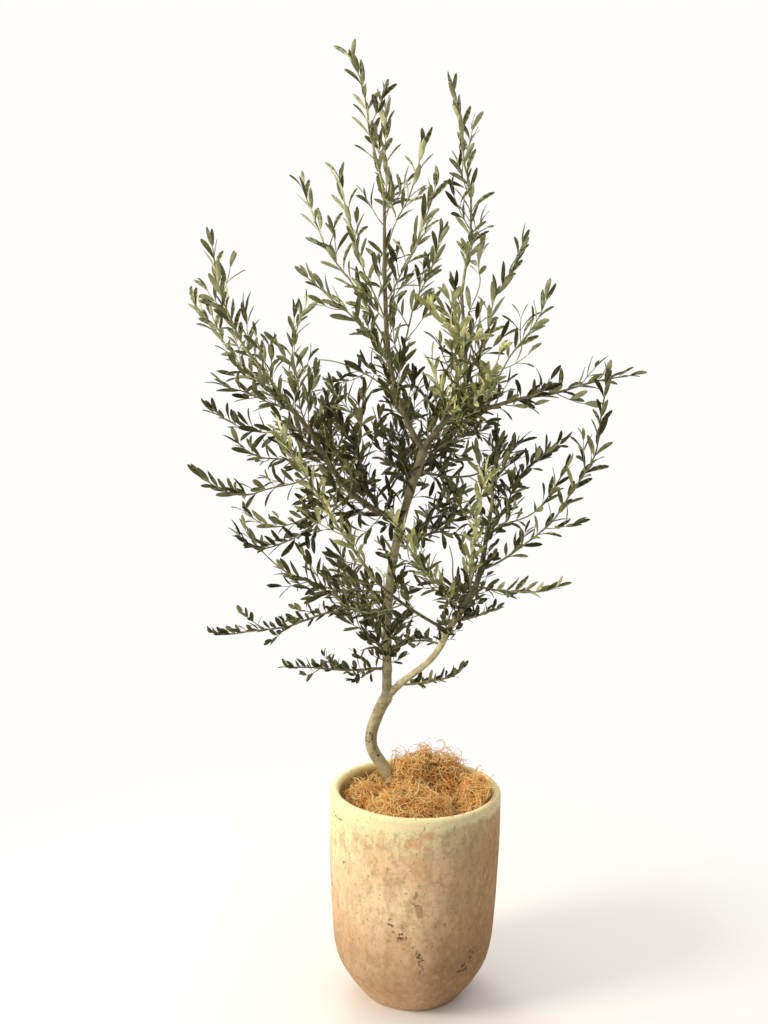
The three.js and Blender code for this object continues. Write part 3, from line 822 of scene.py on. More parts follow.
def leaf_rule():
    held = {"Int": ["Seed"], "Collection": ["Blades"], "Material": ["Upper face", "Underside"]}
    rule = Rule("leaves along lines", Float=LEAF_SIZES, **held)
    given, draw, up = rule.given, rule.draw, tuple(UP)
    line = rule.add("GeometryNodeMeshToCurve", {"Mesh": given["Geometry"]})
    values = {"Curve": line, "Length": given["Spacing"]}
    line = rule.add("GeometryNodeResampleCurve", values, mode="LENGTH")
    along = rule.add("GeometryNodeInputTangent")
    share = rule.add("GeometryNodeSplineParameter", out="Factor")
    pair = rule.add("GeometryNodeSplineParameter", out="Index")
    size = rule.stored("size")
    right = along.vector("CROSS_PRODUCT", up).vector("NORMALIZE")
    over = right.vector("CROSS_PRODUCT", along)
    turn = pair * (math.pi / 2) + rule.stored("turn")
    out = right * turn.math("COSINE") + over * turn.math("SINE")
    slant = given["Slant at foot"] + (given["Slant at tip"] - given["Slant at foot"]) * share * share
    swell = (share * math.pi).math("SINE") * SWELL + END_SIZE
    chosen = share.math("GREATER_THAN", given["Bare share"]) * size.math("GREATER_THAN", NO_LEAF)
    leaves = []
    for side in (1, -1):
        seed = given["Seed"] + side
        stray = draw("FLOAT_VECTOR", less(STRAY), STRAY, seed)
        roll = draw("FLOAT_VECTOR", less(ROLL), ROLL, seed + 4)
        point = along * slant.math("COSINE") + out * (slant.math("SINE") * side)
        point = point + given["Upright"] * up + stray
        face = along + given["Skyward"] * up + roll
        values = {"Primary Axis": point, "Secondary Axis": face}
        axes = {"primary_axis": "X", "secondary_axis": "Z"}
        rotation = rule.add("FunctionNodeAxesToRotation", values, **axes)
        full = size * draw("FLOAT", given["Least size"], GREATEST_SIZE, seed) * swell
        scale = rule.arrow(full, full * (BREADTH / size), full)
        which = draw("INT", 0, len(BLADES) - 1, seed)
        leaves.append(rule.stand(line, given["Blades"], which, rotation, scale, chosen))
    whole = rule.realized(rule.add("GeometryNodeJoinGeometry", {"Geometry": leaves}))
    whole = rule.dressed(whole, "Upper face")
    return rule.ends(rule.dressed(whole, "Underside", rule.stored("underside", "BOOLEAN")))


leafing = leaf_rule()

# %% [markdown]
# The photo shows five kinds of spray: dark old leaves inside the crown, plain olive green, paler
# grey-green shoots at the top and the ends, small dull leaves low down and on the low limb, and a
# few bright yellow-green young shoots at the front. A colour that changed along the crown would
# blur when the model is exported, so each whole spray is dealt one of five plain tints, by its
# place and its seed.

# %% Five tints of leaf, dealt out by spray
TINTS = {  # upper face, underside, millimetres from pair to pair, slant at the line's foot
    "deep": ((55, 53, 20), (100, 97, 60), 12.6, 0.95),
    "green": ((72, 72, 30), (144, 143, 98), 17, 0.85),
    "grey": ((106, 108, 62), (184, 184, 140), 19.5, 0.72),
    "small": ((70, 70, 36), (126, 124, 84), 10.5, 1.0),
    "young": ((178, 178, 112), (214, 214, 156), 17.5, 0.6),
}
YOUNG = ("crossing", "front_bright", "front_high", "front_right", "front_centre")


def tint_of(number, spray):
    """Low, young and high stems have their own tint; the rest is dealt by the seed."""
    is_stem, zone = spray.kind == "stem", zone_of(spray.mass)
    draw = chance(number * 7 + 3)
    if spray.kind == "small spur" or zone == "low":
        return "small"
    if spray.mass in YOUNG:
        return "young" if is_stem or draw >= 0.8 else "green"
    if zone == "inner":
        return "deep" if draw < 0.6 else "green"
    if zone == "high":
        return "grey" if is_stem or draw < 0.4 else "green"
    return "deep" if draw < 0.3 else ("green" if draw < 0.85 else "grey")


def leaf_finish(name, colour, roughness):
    light = tuple(min(255, v * 1.16) for v in colour)
    dark = tuple(v * 0.86 for v in colour)
    finish = Finish(name, tone(*dark), specular=0.25)
    finish.coat(finish.noise(60, 2).between(0.3, 0.7), tone(*light))
    finish.set("Roughness", finish.noise(400, 1) * 0.2 + (roughness - 0.1))
    return finish.material


foliage = {}
for order, (tint, (upper, under, every, slant)) in enumerate(TINTS.items()):
    values = {
        "Spacing": every * MM,
        "Slant at foot": slant,
        "Slant at tip": 0.26,
        "Upright": 0.6 if tint == "small" else 0.36,
        "Skyward": 0.7,
        "Least size": 0.78,
        "Bare share": 0.1,
        "Seed": 10 + order,
        "Blades": blades,
        "Upper face": leaf_finish(f"{tint}_leaf_upper", upper, 0.46),
        "Underside": leaf_finish(f"{tint}_leaf_under", under, 0.7),
    }
    lines = lines_object(f"{tint}_lines", rows_where(lambda n, s: tint_of(n, s) == tint))
    foliage[tint] = leafing.grow(lines, values, f"leaves_{tint}")

# %% [markdown]
# The limbs are one skin: round tubes along the paths, joined by a voxel remesh so that forks
# flow into each other as living wood does, then pushed in and out a little for the bark's
# relief. Each bud or old twig leaves a small swelling. A Skin modifier would be quicker, but it
# would lose the measured radii. Most limbs are a little slimmer than the CAD's, as in the photo.

# %% The bark's shape
BARK_SIDES = 18
BARK_STEP = 4 * MM
VOXEL = 1.25 * MM
SOIL_TOP = 341.3 * MM
SWELLING = 0.12
SWELLING_REACH = 6 * MM
GIRTH = {"trunk": 1.0, "main_stem": 1.0, "low_limb": 0.87, "crossing_bough": 0.68, "leader": 0.9}
OTHER_GIRTH = 0.96  # these are shares of the CAD's radius
joints = {limb: [on_limb(limb, m.height) for m in MASSES.values() if m.limb == limb] for limb in LIMBS}


def girth_at(limb, share):
    """The radius with a swelling where each stem leaves."""
    near = [abs(share - s) * limb_paths[limb].length for s in joints[limb]]
    swelling = min(1, sum(math.exp(-((d / SWELLING_REACH) ** 2)) for d in near))
    return limb_radius(limb, share) * GIRTH.get(limb, OTHER_GIRTH) * (1 + SWELLING * swelling)


def limb_rings(limb):
    """Centre, two square directions and radius at even steps, without any twist."""
    path = limb_paths[limb]
    count = round(path.length / BARK_STEP)
    side = path.along(0).orthogonal().normalized()
    rings = []
    for k in range(count + 1):
        along = path.along(k / count)
        side = (side - along * side.dot(along)).normalized()
        centre = path.at(k / count)
        rings.append((centre, side.copy(), along.cross(side), girth_at(limb, k / count)))
    return rings


def turns(count):
    """The angles of a full turn in even steps."""
    return [2 * math.pi * k / count for k in range(count)]


def ring_points(body, centre, side, over, radius):
    offsets = ((side * math.cos(a) + over * math.sin(a)) * radius for a in turns(BARK_SIDES))
    return [body.verts.new(centre + offset) for offset in offsets]


def skin(body, loops):
    """Faces from each loop of points to the next, and a cap at either end."""
    for low, high in zip(loops, loops[1:]):
        for k in range(len(low)):
            after = (k + 1) % len(low)
            body.faces.new((low[k], low[after], high[after], high[k]))
    body.faces.new(loops[0][::-1])
    body.faces.new(loops[-1])


def mesh_of(body, name):
    """The finished body as a mesh, smooth apart from its caps."""
    mesh = bpy.data.meshes.new(name)
    body.to_mesh(mesh)
    body.free()
    mesh.polygons.foreach_set("use_smooth", [len(p.vertices) < 5 for p in mesh.polygons])
    return mesh


limb_frames = {limb: limb_rings(limb) for limb in LIMBS}
body = bmesh.new()
for rings in limb_frames.values():
    skin(body, [ring_points(body, *ring) for ring in rings if ring[0].z > SOIL_TOP])
limb_tubes = in_scene("limb_tubes", mesh_of(body, "limb_tubes"))
remesh = limb_tubes.modifiers.new("join", "REMESH")
remesh.mode = "VOXEL"
remesh.voxel_size = VOXEL
remesh.use_smooth_shade = True
bark = frozen(limb_tubes, "bark")

# %% [markdown]
# The bark's grain runs along each limb, so every point of the skin is told how far along its
# nearest limb it lies and how far off the middle. Those three numbers are stored as an attribute
# that the finish reads in place of the plain position. A second attribute says how pale the bark
# is there: the low limb is cream at its foot and darker toward its tip, partly as a painted shade
# where it runs into the crown; the trunk is grey-green, the leaders brown.

# %% Grain, paleness and relief of the bark
PALE = {  # from each limb's foot to its tip
    "trunk": [0.48, 0.62],
    "main_stem": [0.54, 0.5, 0.5, 0.5, 0.5, 0.46],
    # Cream at its foot; the fall toward its tip is partly a painted shade inside the crown.
    "low_limb": [0.8, 1.0, 0.9, 0.25, 0.05, 0.0],
    "leader": [0.2, 0.2, 0.25],
    "right_bough": [0.15, 0.25],
    "second_leader": [0.2, 0.2],
    "left_bough": [0.15, 0.2],
    "crossing_bough": [0.1, 0.1],
}
RIDGE, FINE_RIDGE = 0.35 * MM, 0.16 * MM
FULL_RELIEF = 8 * MM  # radius from which a limb has its full relief
marks = [(limb, k) for limb, rings in limb_frames.items() for k in range(len(rings))]
nearest = kdtree.KDTree(len(marks))
for number, (limb, k) in enumerate(marks):
    nearest.insert(limb_frames[limb][k][0], number)
nearest.balance()
mesh = bark.data
count = len(mesh.vertices)
places, normals, grain = (np.zeros((count, 3), np.float32) for _ in range(3))
pale, relief = (np.zeros(count, np.float32) for _ in range(2))
mesh.vertices.foreach_get("co", places.ravel())
mesh.vertices.foreach_get("normal", normals.ravel())
for number, place in enumerate(places):
    place = Vector(place)
    limb, k = marks[nearest.find(place)[1]]
    centre, side, over, radius = limb_frames[limb][k]
    offset = place - centre
    distance = k * BARK_STEP + offset.dot(side.cross(over))
    lie = Vector((offset.dot(side), offset.dot(over), distance))
    grain[number] = lie
    pale[number] = reading(PALE[limb], k / (len(limb_frames[limb]) - 1))
    ridge = RIDGE * noise.fractal(lie * 90, 1.0, 2.0, 3)
    ridge += FINE_RIDGE * noise.noise(Vector((lie.x, lie.y, lie.z * 0.15)) * 420)
    relief[number] = ridge * min(1, radius / FULL_RELIEF)
mesh.vertices.foreach_set("co", (places + normals * relief[:, None]).ravel())
mesh.attributes.new("grain", "FLOAT_VECTOR", "POINT").data.foreach_set("vector", grain.ravel())
mesh.attributes.new("pale", "FLOAT", "POINT").data.foreach_set("value", pale)
print("grain runs to", grain.max(axis=0).round(3))

# %% [markdown]
# Young olive bark is smooth: grey-green to taupe, streaked lengthwise, with dark flecks and pale
# raised pores. Layers of noise give each of these; the streaks come from noise that is squeezed
# across the limb and stretched along it.

# %% The bark's finish
SCARRED = (-0.085, 0.046, 0.464)  # where the trunk's flecks lie closest
SCARS_REACH = 0.03
olive = Finish("olive_bark", tone(88, 76, 58), roughness=0.66, specular=0.3)
on_bark = olive.add("ShaderNodeAttribute", out="Vector", attribute_name="grain")
how_pale = olive.add("ShaderNodeAttribute", out="Fac", attribute_name="pale")
streak = olive.noise(260, 4, at=on_bark * (1.0, 1.0, 0.12))
mottle = olive.noise(55, 3, at=on_bark)
scars = olive.place - SCARRED
scars = 1 - (scars.length() / SCARS_REACH).between(0.3, 1.0)
fleck = (olive.noise(210, 1, at=on_bark * (1.0, 1.0, 0.6)) + scars * 0.12).between(0.69, 0.73)
pore = olive.noise(600, 1, at=on_bark * (1.0, 1.0, 1.6)).between(0.68, 0.74)
cream = olive.mix(mottle.between(0.35, 0.65), tone(200, 188, 140), tone(238, 226, 178))
olive.coat(mottle.between(0.35, 0.65), tone(122, 110, 84))
olive.coat(how_pale, cream)
olive.coat(streak.between(0.5, 0.75) * 0.45, tone(112, 104, 74))
olive.coat(pore * 0.4, tone(206, 196, 158))
olive.coat(fleck * 0.85, tone(46, 38, 28))
olive.set("Roughness", streak * 0.2 + 0.55)
olive.relief(streak * 0.6 + mottle + pore * 0.5 - fleck * 0.6, 0.9 * MM, 0.8)
bark.data.materials.append(olive.material)
print("nodes in the bark", len(olive.tree.nodes))

# %% [markdown]
# The pot is one turned form: a narrow foot, a belly that rises to straight sides, and a thick
# rounded lip. Blender's Screw modifier could turn the profile, but building the rings in code
# lets the hand's slight unevenness into the wall while the foot stays flat. It follows the CAD
# profile with many more sides, and is 2 or 3 mm fuller just above the foot.

# %% The pot's profile
POT_HEIGHT = 391 * MM
RIM_RADIUS = 157 * MM
FOOT_RADIUS = 92 * MM
WALL = 16 * MM
INNER_RADIUS = RIM_RADIUS - WALL
POT_FLOOR = 20 * MM
WALL_STEPS = 70
LIP_STEPS = 12
OUTER = [
    (FOOT_RADIUS, 0),
    (0.775 * RIM_RADIUS, 0.1 * POT_HEIGHT),
    (0.915 * RIM_RADIUS, 0.22 * POT_HEIGHT),
    (0.97 * RIM_RADIUS, 0.43 * POT_HEIGHT),
    (RIM_RADIUS, 0.75 * POT_HEIGHT),
    (RIM_RADIUS, POT_HEIGHT - WALL / 2),
]


def outer_wall(steps):
    """The outer profile: a uniform Catmull-Rom curve whose ends repeat."""
    p = [Vector(OUTER[0]), *map(Vector, OUTER), Vector(OUTER[-1])]
    points = []
    for k in range(steps + 1):
        at = (len(OUTER) - 1) * k / steps
        i = min(int(at), len(OUTER) - 2)
        a, b, c, d = p[i : i + 4]
        points.append(bridge(b, c, (c - a) / 2, (d - b) / 2, at - i))
    return points


def pot_profile():
    """The foot's softened edge, the outer wall, the lip and the inner wall down to the floor."""
    wall = outer_wall(WALL_STEPS)
    lip = Vector((RIM_RADIUS - WALL / 2, POT_HEIGHT - WALL / 2))
    angles = [math.pi * k / LIP_STEPS for k in range(1, LIP_STEPS + 1)]
    curl = [lip + Vector((math.cos(a), math.sin(a))) * (WALL / 2) for a in angles]
    inner = [Vector((p.x - WALL, p.y)) for p in reversed(wall) if p.y > POT_FLOOR]
    foot = [Vector((FOOT_RADIUS - 2 * MM, 0)), Vector((FOOT_RADIUS + 0.4 * MM, 0.8 * MM))]
    return [*foot, *wall[1:], *curl, *inner[1:], Vector((inner[-1].x, POT_FLOOR))]


profile = pot_profile()
print("rings in the pot", len(profile))

# %% The pot's body
POT_SIDES = 144


def hand_made(point):
    """Slow swells of the wall and small dents, none at the foot."""
    swell = 0.7 * noise.noise(point * 9) + 0.25 * noise.noise(point * 38)
    return swell * MM * min(1, point.z / (20 * MM))


body = bmesh.new()
loops = []
for radius, height in profile:
    loop = []
    for angle in turns(POT_SIDES):
        around = Vector((math.cos(angle), math.sin(angle), 0))
        point = around * radius + UP * height
        loop.append(body.verts.new(point + around * hand_made(point)))
    loops.append(loop)
skin(body, loops)
pot = in_scene("clay_pot", mesh_of(body, "clay_pot"))
print("pot faces", len(pot.data.polygons))

# %% [markdown]
# The clay is washed with cream lime that has worn unevenly: yellower toward the top, reaching lower
# on the left as a painted light, and darker toward the bottom. A tan painted shade runs down the
# right side, deepest low on the right as a painted shadow. One image could hold all of it, but
# coats of noise stay sharp at any distance. Each coat has a mask of its own: noise cut off at a
# level, or the height on the pot, with its edge broken up by noise.

# %% The pot's finish: clay and lime
clay = Finish("whitewashed_clay", tone(246, 202, 154), roughness=0.82, specular=0.25)
height = clay.place.part("Z")
across = clay.place.part("X")
cloud = clay.noise(9, 5)
mottle = clay.noise(34, 6, roughness=0.65)
streak = clay.noise(46, 6, at=clay.place * (1.0, 1.0, 0.3), roughness=0.62)
frayed = clay.noise(120, 5, roughness=0.7)
blotch = clay.noise(75, 6, at=clay.place + (0.4, 0.2, 0.1), roughness=0.72)
grime = clay.noise(110, 6, at=clay.place * (1.0, 1.0, 0.6) + (0.3, 0.0, 0.2), roughness=0.75)
run = clay.noise(60, 3, at=clay.place * (1.0, 1.0, 0.12)).between(0.54, 0.66)
# Yellower lime toward the top, reaching lower on the left as a painted light.
yellow = (height + across * -0.25 + (cloud - 0.5) * 0.1).between(0.3, 0.38)
# The right side of the pot, where a tan painted shade lies.
right = (across + (cloud - 0.5) * 0.12).between(-0.01, 0.13)
# Darker toward the bottom, less so at the very foot.
low = (1 - height.between(0.06, 0.27)) * (0.5 + height.between(0.0, 0.06) * 0.25)
# A painted shadow on the lower right of the pot.
painted_low_right_shadow = (across + (cloud - 0.5) * 0.05).between(0.0, 0.06) * (1 - height.between(0.08, 0.27))
rim = (height + across * -0.03 + (mottle - 0.5) * 0.03).between(0.363, 0.374)
clay.coat(cloud.between(0.35, 0.65), tone(255, 224, 178))
clay.coat(yellow * 0.8, tone(255, 244, 184))
clay.coat(mottle.between(0.5, 0.62) * 0.5, tone(204, 168, 126))
clay.coat(frayed.between(0.54, 0.62) * 0.4, tone(250, 232, 196))
clay.coat(blotch.between(0.55, 0.64) * 0.4, tone(176, 142, 104))
# Painted shade down the right side, a little weaker near the top.
clay.coat(right * (0.74 - height.between(0.3, 0.36) * 0.2), tone(150, 112, 70))
clay.coat(low, tone(168, 130, 94))
# The painted shadow, low on the right.
clay.coat(painted_low_right_shadow * 0.42, tone(96, 62, 32))
clay.coat(streak.between(0.48, 0.62) * 0.3, tone(160, 126, 88))
# Grime, heavier on the right side as a painted shade.
clay.coat(grime.between(0.5, 0.6) * (0.18 + right * 0.12), tone(122, 88, 56))
clay.coat((1 - grime.between(0.38, 0.46)) * 0.16, tone(240, 212, 168))
clay.coat(run * height.between(0.1, 0.3) * 0.25, tone(210, 164, 104))
# Pale lime at the lip, weaker on the right side as a painted shade.
clay.coat(rim * (0.85 - right * 0.28), tone(255, 242, 184))
print("nodes in the lime", len(clay.tree.nodes))

# %% [markdown]
# Some marks belong in one place: bare terracotta under the rim, stains, clusters of dark pits, a
# smear and a small crack. Each could be modelled, but they are shallow, so each is a mask, a soft
# ball round a place or a stroke from one place to another, with its edge broken up by noise.

# %% Marks in one place
def frayed_mark(away, start, ragged):
    """1 where away is small and 0 past 1.1, with a ragged edge."""
    return 1 - (away + (frayed - 0.5) * (ragged * 4)).between(start, 1.1)


def spot(centre, reach, ragged=0.5):
    """1 round a place in millimetres, 0 beyond its reach."""
    middle = tuple(v * MM for v in centre)
    return frayed_mark((clay.place - middle).length() / (reach * MM), 0.35, ragged)


def stroke(start, end, width, ragged=0.3):
    """1 along a mark from one place to another in millimetres, 0 beyond its width."""
    foot, run = Vector(start) * MM, Vector(end) * MM - Vector(start) * MM
    from_foot = clay.place - tuple(foot)
    share = from_foot.vector("DOT_PRODUCT", tuple(run), out=1) / run.length_squared
    share = share.math("MAXIMUM", 0.0).math("MINIMUM", 1.0)
    return frayed_mark((from_foot - share * tuple(run)).length() / (width * MM), 0.7, ragged)


bare = spot((14, -156, 354), 28) + spot((-8, -157, 350), 22) * 0.8
stain = spot((16, -156, 314), 32) + spot((94, -126, 307), 50) + spot((63, -142, 249), 44)
smear = stroke((5, -157, 230), (8, -157, 216), 7)
drip = stroke((-18, -156, 128), (-19, -156, 92), 4)
pitted = (
    spot((-42, -151, 196), 11)
    + spot((-27, -155, 178), 15)
    + stroke((8, -157, 142), (15, -156, 96), 10, 0.5)
    + stroke((84, -133, 86), (114, -108, 124), 13, 0.8)
    + spot((-126, -94, 287), 9)
    + stroke((0, -157, 262), (0, -157, 250), 4) * 0.5
    + spot((-1, -157, 236), 5)
    + spot((10, -157, 208), 4)
)
crack = stroke((-147, -55, 364), (-145, -60, 357), 1.5, 1.1)
crack = crack + stroke((-144, -63, 358), (-131, -86, 359), 1.5, 1.1)
print("nodes with the marks", len(clay.tree.nodes))

# %% Worn places, stains, pits and the painted shade of the inner wall
patchy = (bare * blotch.between(0.44, 0.58)).math("MINIMUM", 1.0)
pits = (clay.noise(150, 3, roughness=0.65).between(0.52, 0.56) * pitted).math("MINIMUM", 1.0)
grit = clay.noise(420, 3)
inside = 1 - clay.place.off_axis().between(INNER_RADIUS + 0.5 * MM, INNER_RADIUS + 1.5 * MM)
# Painted shade on the inner wall, between the bed and the lip.
painted_inner_shade = inside * (1 - height.between(0.372, 0.388)) * height.between(0.3, 0.31)
clay.coat(patchy * 0.6, tone(232, 164, 112))
clay.coat(stain.math("MINIMUM", 1.0) * (mottle * 0.5), tone(184, 156, 122))
clay.coat(smear * 0.75, tone(170, 134, 98))
clay.coat(drip * 0.65, tone(136, 102, 66))
clay.coat(pits * 0.95, tone(84, 60, 40))
clay.coat(crack.math("MINIMUM", 1.0) * 0.8, tone(96, 76, 46))
clay.coat(clay.noise(150, 2).between(0.66, 0.7) * 0.6, tone(120, 88, 58))
clay.coat(grit.between(0.64, 0.7) * 0.35, tone(150, 116, 80))
# The painted shade of the inner wall.
clay.coat(painted_inner_shade * 0.75, tone(128, 104, 66))
clay.set("Roughness", mottle * 0.2 + 0.72)
clay.relief(cloud * 0.5 + mottle * 0.6 + grit * 0.14 - pits * 1.2 - patchy * 0.4, 1.6 * MM, 0.7)
pot.data.materials.append(clay.material)
print("nodes in the clay", len(clay.tree.nodes))

# %% [markdown]
# Coconut fibre covers the soil in a loose heap, highest behind the trunk. Under the loose fibres
# lies a matted bed. The CAD has one heap; here the bed has the several lumps that the photo
# shows, each a soft mound at its place, with noise for the tufts. Sculpting would do it too, but
# a rule can be run again. The soil below it never shows, and keeps its CAD solid with a dark
# earth finish.

# %% The matted bed of the mulch
BED_RADIUS = INNER_RADIUS - 0.8 * MM
BED_RINGS = 44
BED_SIDES = 120
BED_LEVEL = 351  # height of the bed between its lumps, in millimetres
HEAPS = [  # place, height and reach of each lump of the heap, in millimetres
    ((-8, 66), 62, (36, 40)),
    ((52, 82), 60, (40, 34)),
    ((-12, -52), 38, (66, 52)),
    ((114, -16), 54, (28, 58)),
    ((-98, 14), 22, (28, 40)),
    ((-54, 36), 14, (26, 26)),
]


def bed_point(radius, angle):
    x, y = radius * math.cos(angle), radius * math.sin(angle)
    rise = 0
    for (at_x, at_y), top, (wide, deep) in HEAPS:
        away = ((x / MM - at_x) / wide) ** 2 + ((y / MM - at_y) / deep) ** 2
        rise += top * math.exp(-away * away)
    tufts = 9 * noise.noise(Vector((x, y, 0.3)) * 32)
    tufts += 6 * noise.fractal(Vector((x, y, 0)) * 60, 0.8, 2.0, 4)
    return Vector((x, y, (BED_LEVEL + rise + tufts * (1 - (radius / BED_RADIUS) ** 10)) * MM))


body = bmesh.new()
loops = [[body.verts.new(bed_point(0, 0))]]
for i in range(1, BED_RINGS + 1):
    radius = BED_RADIUS * i / BED_RINGS
    loops.append([body.verts.new(bed_point(radius, a)) for a in turns(BED_SIDES)])
loops.append([body.verts.new((v.co.x, v.co.y, SOIL_TOP + 0.3 * MM)) for v in loops[-1]])
for k in range(BED_SIDES):
    after = (k + 1) % BED_SIDES
    body.faces.new((loops[0][0], loops[1][k], loops[1][after]))
    for low, high in zip(loops[1:], loops[2:]):
        body.faces.new((low[k], high[k], high[after], low[after]))
body.faces.new(loops[-1][::-1])
bed = in_scene("mulch_bed", mesh_of(body, "mulch_bed"))
print("bed top", round(max(v.co.z for v in bed.data.vertices), 3))

# %% Finishes of the bed, the fibres and the soil
def fibre_finish(name, dark, light):
    finish = Finish(name, tone(*dark), roughness=0.7, specular=0.3)
    fine = finish.noise(600, 2)
    finish.coat(finish.noise(70, 4).between(0.3, 0.7), tone(*light))
    finish.coat(fine.between(0.5, 0.8) * 0.1, tone(120, 76, 40))
    finish.relief(fine, 0.8 * MM, 0.6)
    return finish.material


bed.data.materials.append(fibre_finish("fibre_mat", (120, 80, 38), (214, 146, 72)))
earth = fibre_finish("dark_earth", (44, 34, 26), (70, 54, 40))
soil = frame["nodes"]["soil"]
if soil.material_slots:
    soil.material_slots[0].material = earth
else:
    soil.data.materials.append(earth)
print("soil keeps its solid")

# %% [markdown]
# Loose fibres are long, thin and curly, tangled in every direction, with a few wisps standing
# off the heap. Hair particles would be the usual way, but the export drops them. So a handful of
# curly strands is drawn by a rule, and Geometry Nodes scatter them over the bed, laid against
# its surface and combed by a slow noise so that neighbours run nearly the same way, with a random
# turn and tilt. Any that would pass through the wall are pressed back inside the pot.

# %% Curly strands
STRANDS = 9
STRAND_POINTS = 16
STRAND_RADIUS = 0.74 * MM


def strand_line(number, length):
    """A strand that wanders in a flattish tangle round the origin."""
    point, heading, rise = Vector(), 0.0, 0.0
    line = []
    curl = 0.5 + 0.55 * chance(number * 3 + 1)
    for k in range(STRAND_POINTS):
        line.append(point.copy())
        heading += curl * (1.4 * chance(number * 57 + k) - 0.25)
        rise = 0.7 * rise + 0.5 * (chance(number * 91 + k) - 0.5)
        ahead = Vector((math.cos(heading), math.sin(heading), rise)).normalized()
        point = point + ahead * (length / STRAND_POINTS)
    centre = sum(line, Vector()) / len(line)
    return [p - centre for p in line]


strands = bpy.data.collections.new("fibre strands")
for number in range(STRANDS):
    line = strand_line(number, (60 + 50 * chance(number)) * MM)
    radii = [STRAND_RADIUS * (1 - 0.5 * abs(2 * k / STRAND_POINTS - 1) ** 3) for k in range(len(line))]
    strand = lines_object("strand_line", [(line, radii, 0.0, [1.0] * len(line))])
    strand = tubes.grow(strand, {"Sides": 3}, f"strand_{number}")
    strand.data.polygons.foreach_set("use_smooth", [True] * len(strand.data.polygons))
    strands.objects.link(strand)
    bpy.context.scene.collection.objects.unlink(strand)

# %% The rule for fibres over the bed
FIBRE_SIZES = ["Density", "Lift", "Tilt", "Inner radius", "Rim height"]
COMBING, COMB_TURNS = 14.0, 3  # scale of the noise that combs the strands, and turns over its range
TURN_OFF = 0.9  # how far a strand may turn off its way
STRAND_SIZES = (0.55, 1.1)
UPWARD, BED_FOOT = 0.25, 0.35  # strands lie only where the bed faces up, and above its foot


def fibre_rule():
    held = {"Int": ["Seed"], "Collection": ["Strands"], "Material": ["Fibre"]}
    rule = Rule("fibres over the bed", Float=FIBRE_SIZES, **held)
    given, draw = rule.given, rule.draw
    where = rule.add("GeometryNodeInputPosition")
    facing = rule.add("GeometryNodeInputNormal").part("Z")
    values = {
        "Mesh": given["Geometry"],
        "Selection": facing.math("GREATER_THAN", UPWARD) * where.part("Z").math("GREATER_THAN", BED_FOOT),
        "Density": given["Density"],
        "Seed": given["Seed"],
    }
    points = rule.add("GeometryNodeDistributePointsOnFaces", values)
    lie = Wire(rule, points.socket.node.outputs["Rotation"])
    comb = rule.add("ShaderNodeTexNoise", {"Vector": where, "Scale": COMBING, "Detail": 0.0})
    stray = rule.arrow(given["Tilt"], given["Tilt"], TURN_OFF)
    spin = draw("FLOAT_VECTOR", stray * -1.0, stray, given["Seed"] + 5)
    spin = spin + rule.arrow(0.0, 0.0, comb * (COMB_TURNS * 2 * math.pi))
    spin = rule.add("FunctionNodeEulerToRotation", {"Euler": spin})
    values = {"Rotation": lie, "Rotate By": spin}
    lie = rule.add("FunctionNodeRotateRotation", values, rotation_space="LOCAL")
    which = draw("INT", 0, STRANDS - 1, given["Seed"] + 7)
    scale = draw("FLOAT", *STRAND_SIZES, given["Seed"] + 9)
    whole = rule.realized(rule.stand(points, given["Strands"], which, lie, scale))
    pull = (given["Inner radius"] / where.off_axis()).math("MINIMUM", 1.0)
    inside = where.part("Z").math("LESS_THAN", given["Rim height"])
    values = {"Geometry": whole, "Selection": inside, "Position": where * rule.arrow(pull, pull, 1.0)}
    pressed = rule.add("GeometryNodeSetPosition", values)
    values = {"Geometry": pressed, "Offset": rule.arrow(0.0, 0.0, given["Lift"])}
    return rule.ends(rule.dressed(rule.add("GeometryNodeSetPosition", values), "Fibre"))


scattering = fibre_rule()

# %% Loose fibres in four colours
LOOSE = {  # strands to a square metre, lift in millimetres, tilt, dark and light colour
    "fibres_gold": (13500.0, 4.0, 0.4, (255, 186, 98), (255, 212, 132)),
    "fibres_pale": (9500.0, 6.5, 0.45, (255, 216, 138), (255, 240, 184)),
    "fibres_brown": (4500.0, 1.0, 0.35, (208, 136, 66), (246, 172, 94)),
    "fibres_wisps": (2200.0, 12.0, 1.2, (250, 188, 108), (255, 218, 146)),
}
fibres = []
for order, (name, (density, lift, tilt, dark, light)) in enumerate(LOOSE.items()):
    values = {
        "Density": density,
        "Lift": lift * MM,
        "Tilt": tilt,
        "Inner radius": INNER_RADIUS - 1.5 * MM,
        "Rim height": POT_HEIGHT + 1 * MM,
        "Seed": 3 + order,
        "Strands": strands,
        "Fibre": fibre_finish(name + "_finish", dark, light),
    }
    fibres.append(scattering.grow(in_scene("bed_copy", bed.data.copy()), values, name))

# %% [markdown]
# The helper shapes were only patterns for instances, so they go. Then the CAD solids that the new
# pieces stand for are hidden, and every piece is attached to the body it moves with.

# %% Hide the CAD solids and attach the pieces
for collection in (blades, strands):
    for helper in list(collection.objects):
        bpy.data.objects.remove(helper)
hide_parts(*LIMBS)
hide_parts("pot")
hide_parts("mulch")
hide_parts(*(m for m in MASSES if m not in young_and_top_lit))
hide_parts(*(m for m in MASSES if m in young_and_top_lit))
for tint, leaves in foliage.items():
    dealt = {s.mass for n, s in enumerate(sprays) if tint_of(n, s) == tint}
    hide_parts(*sorted(dealt))
slots = {
    "bark": [bark, stems, shoots, twigs],
    "foliage": [*foliage.values()],
    "pot": [pot],
    "mulch": [bed, *fibres],
}
for slot, pieces in slots.items():
    for piece in pieces:
        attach(piece, "root")
print("pieces", sum(len(pieces) for pieces in slots.values()))

# %% [markdown]
# The tree stands on a round pale floor that fades out toward its edge. The world around it is
# brighter behind, above and to the left, which lights the crown as a room with a window would. An
# uneven backdrop would spoil the views from the sides, so to the camera the world looks evenly
# pale; the tree's own materials never ask where the camera is.

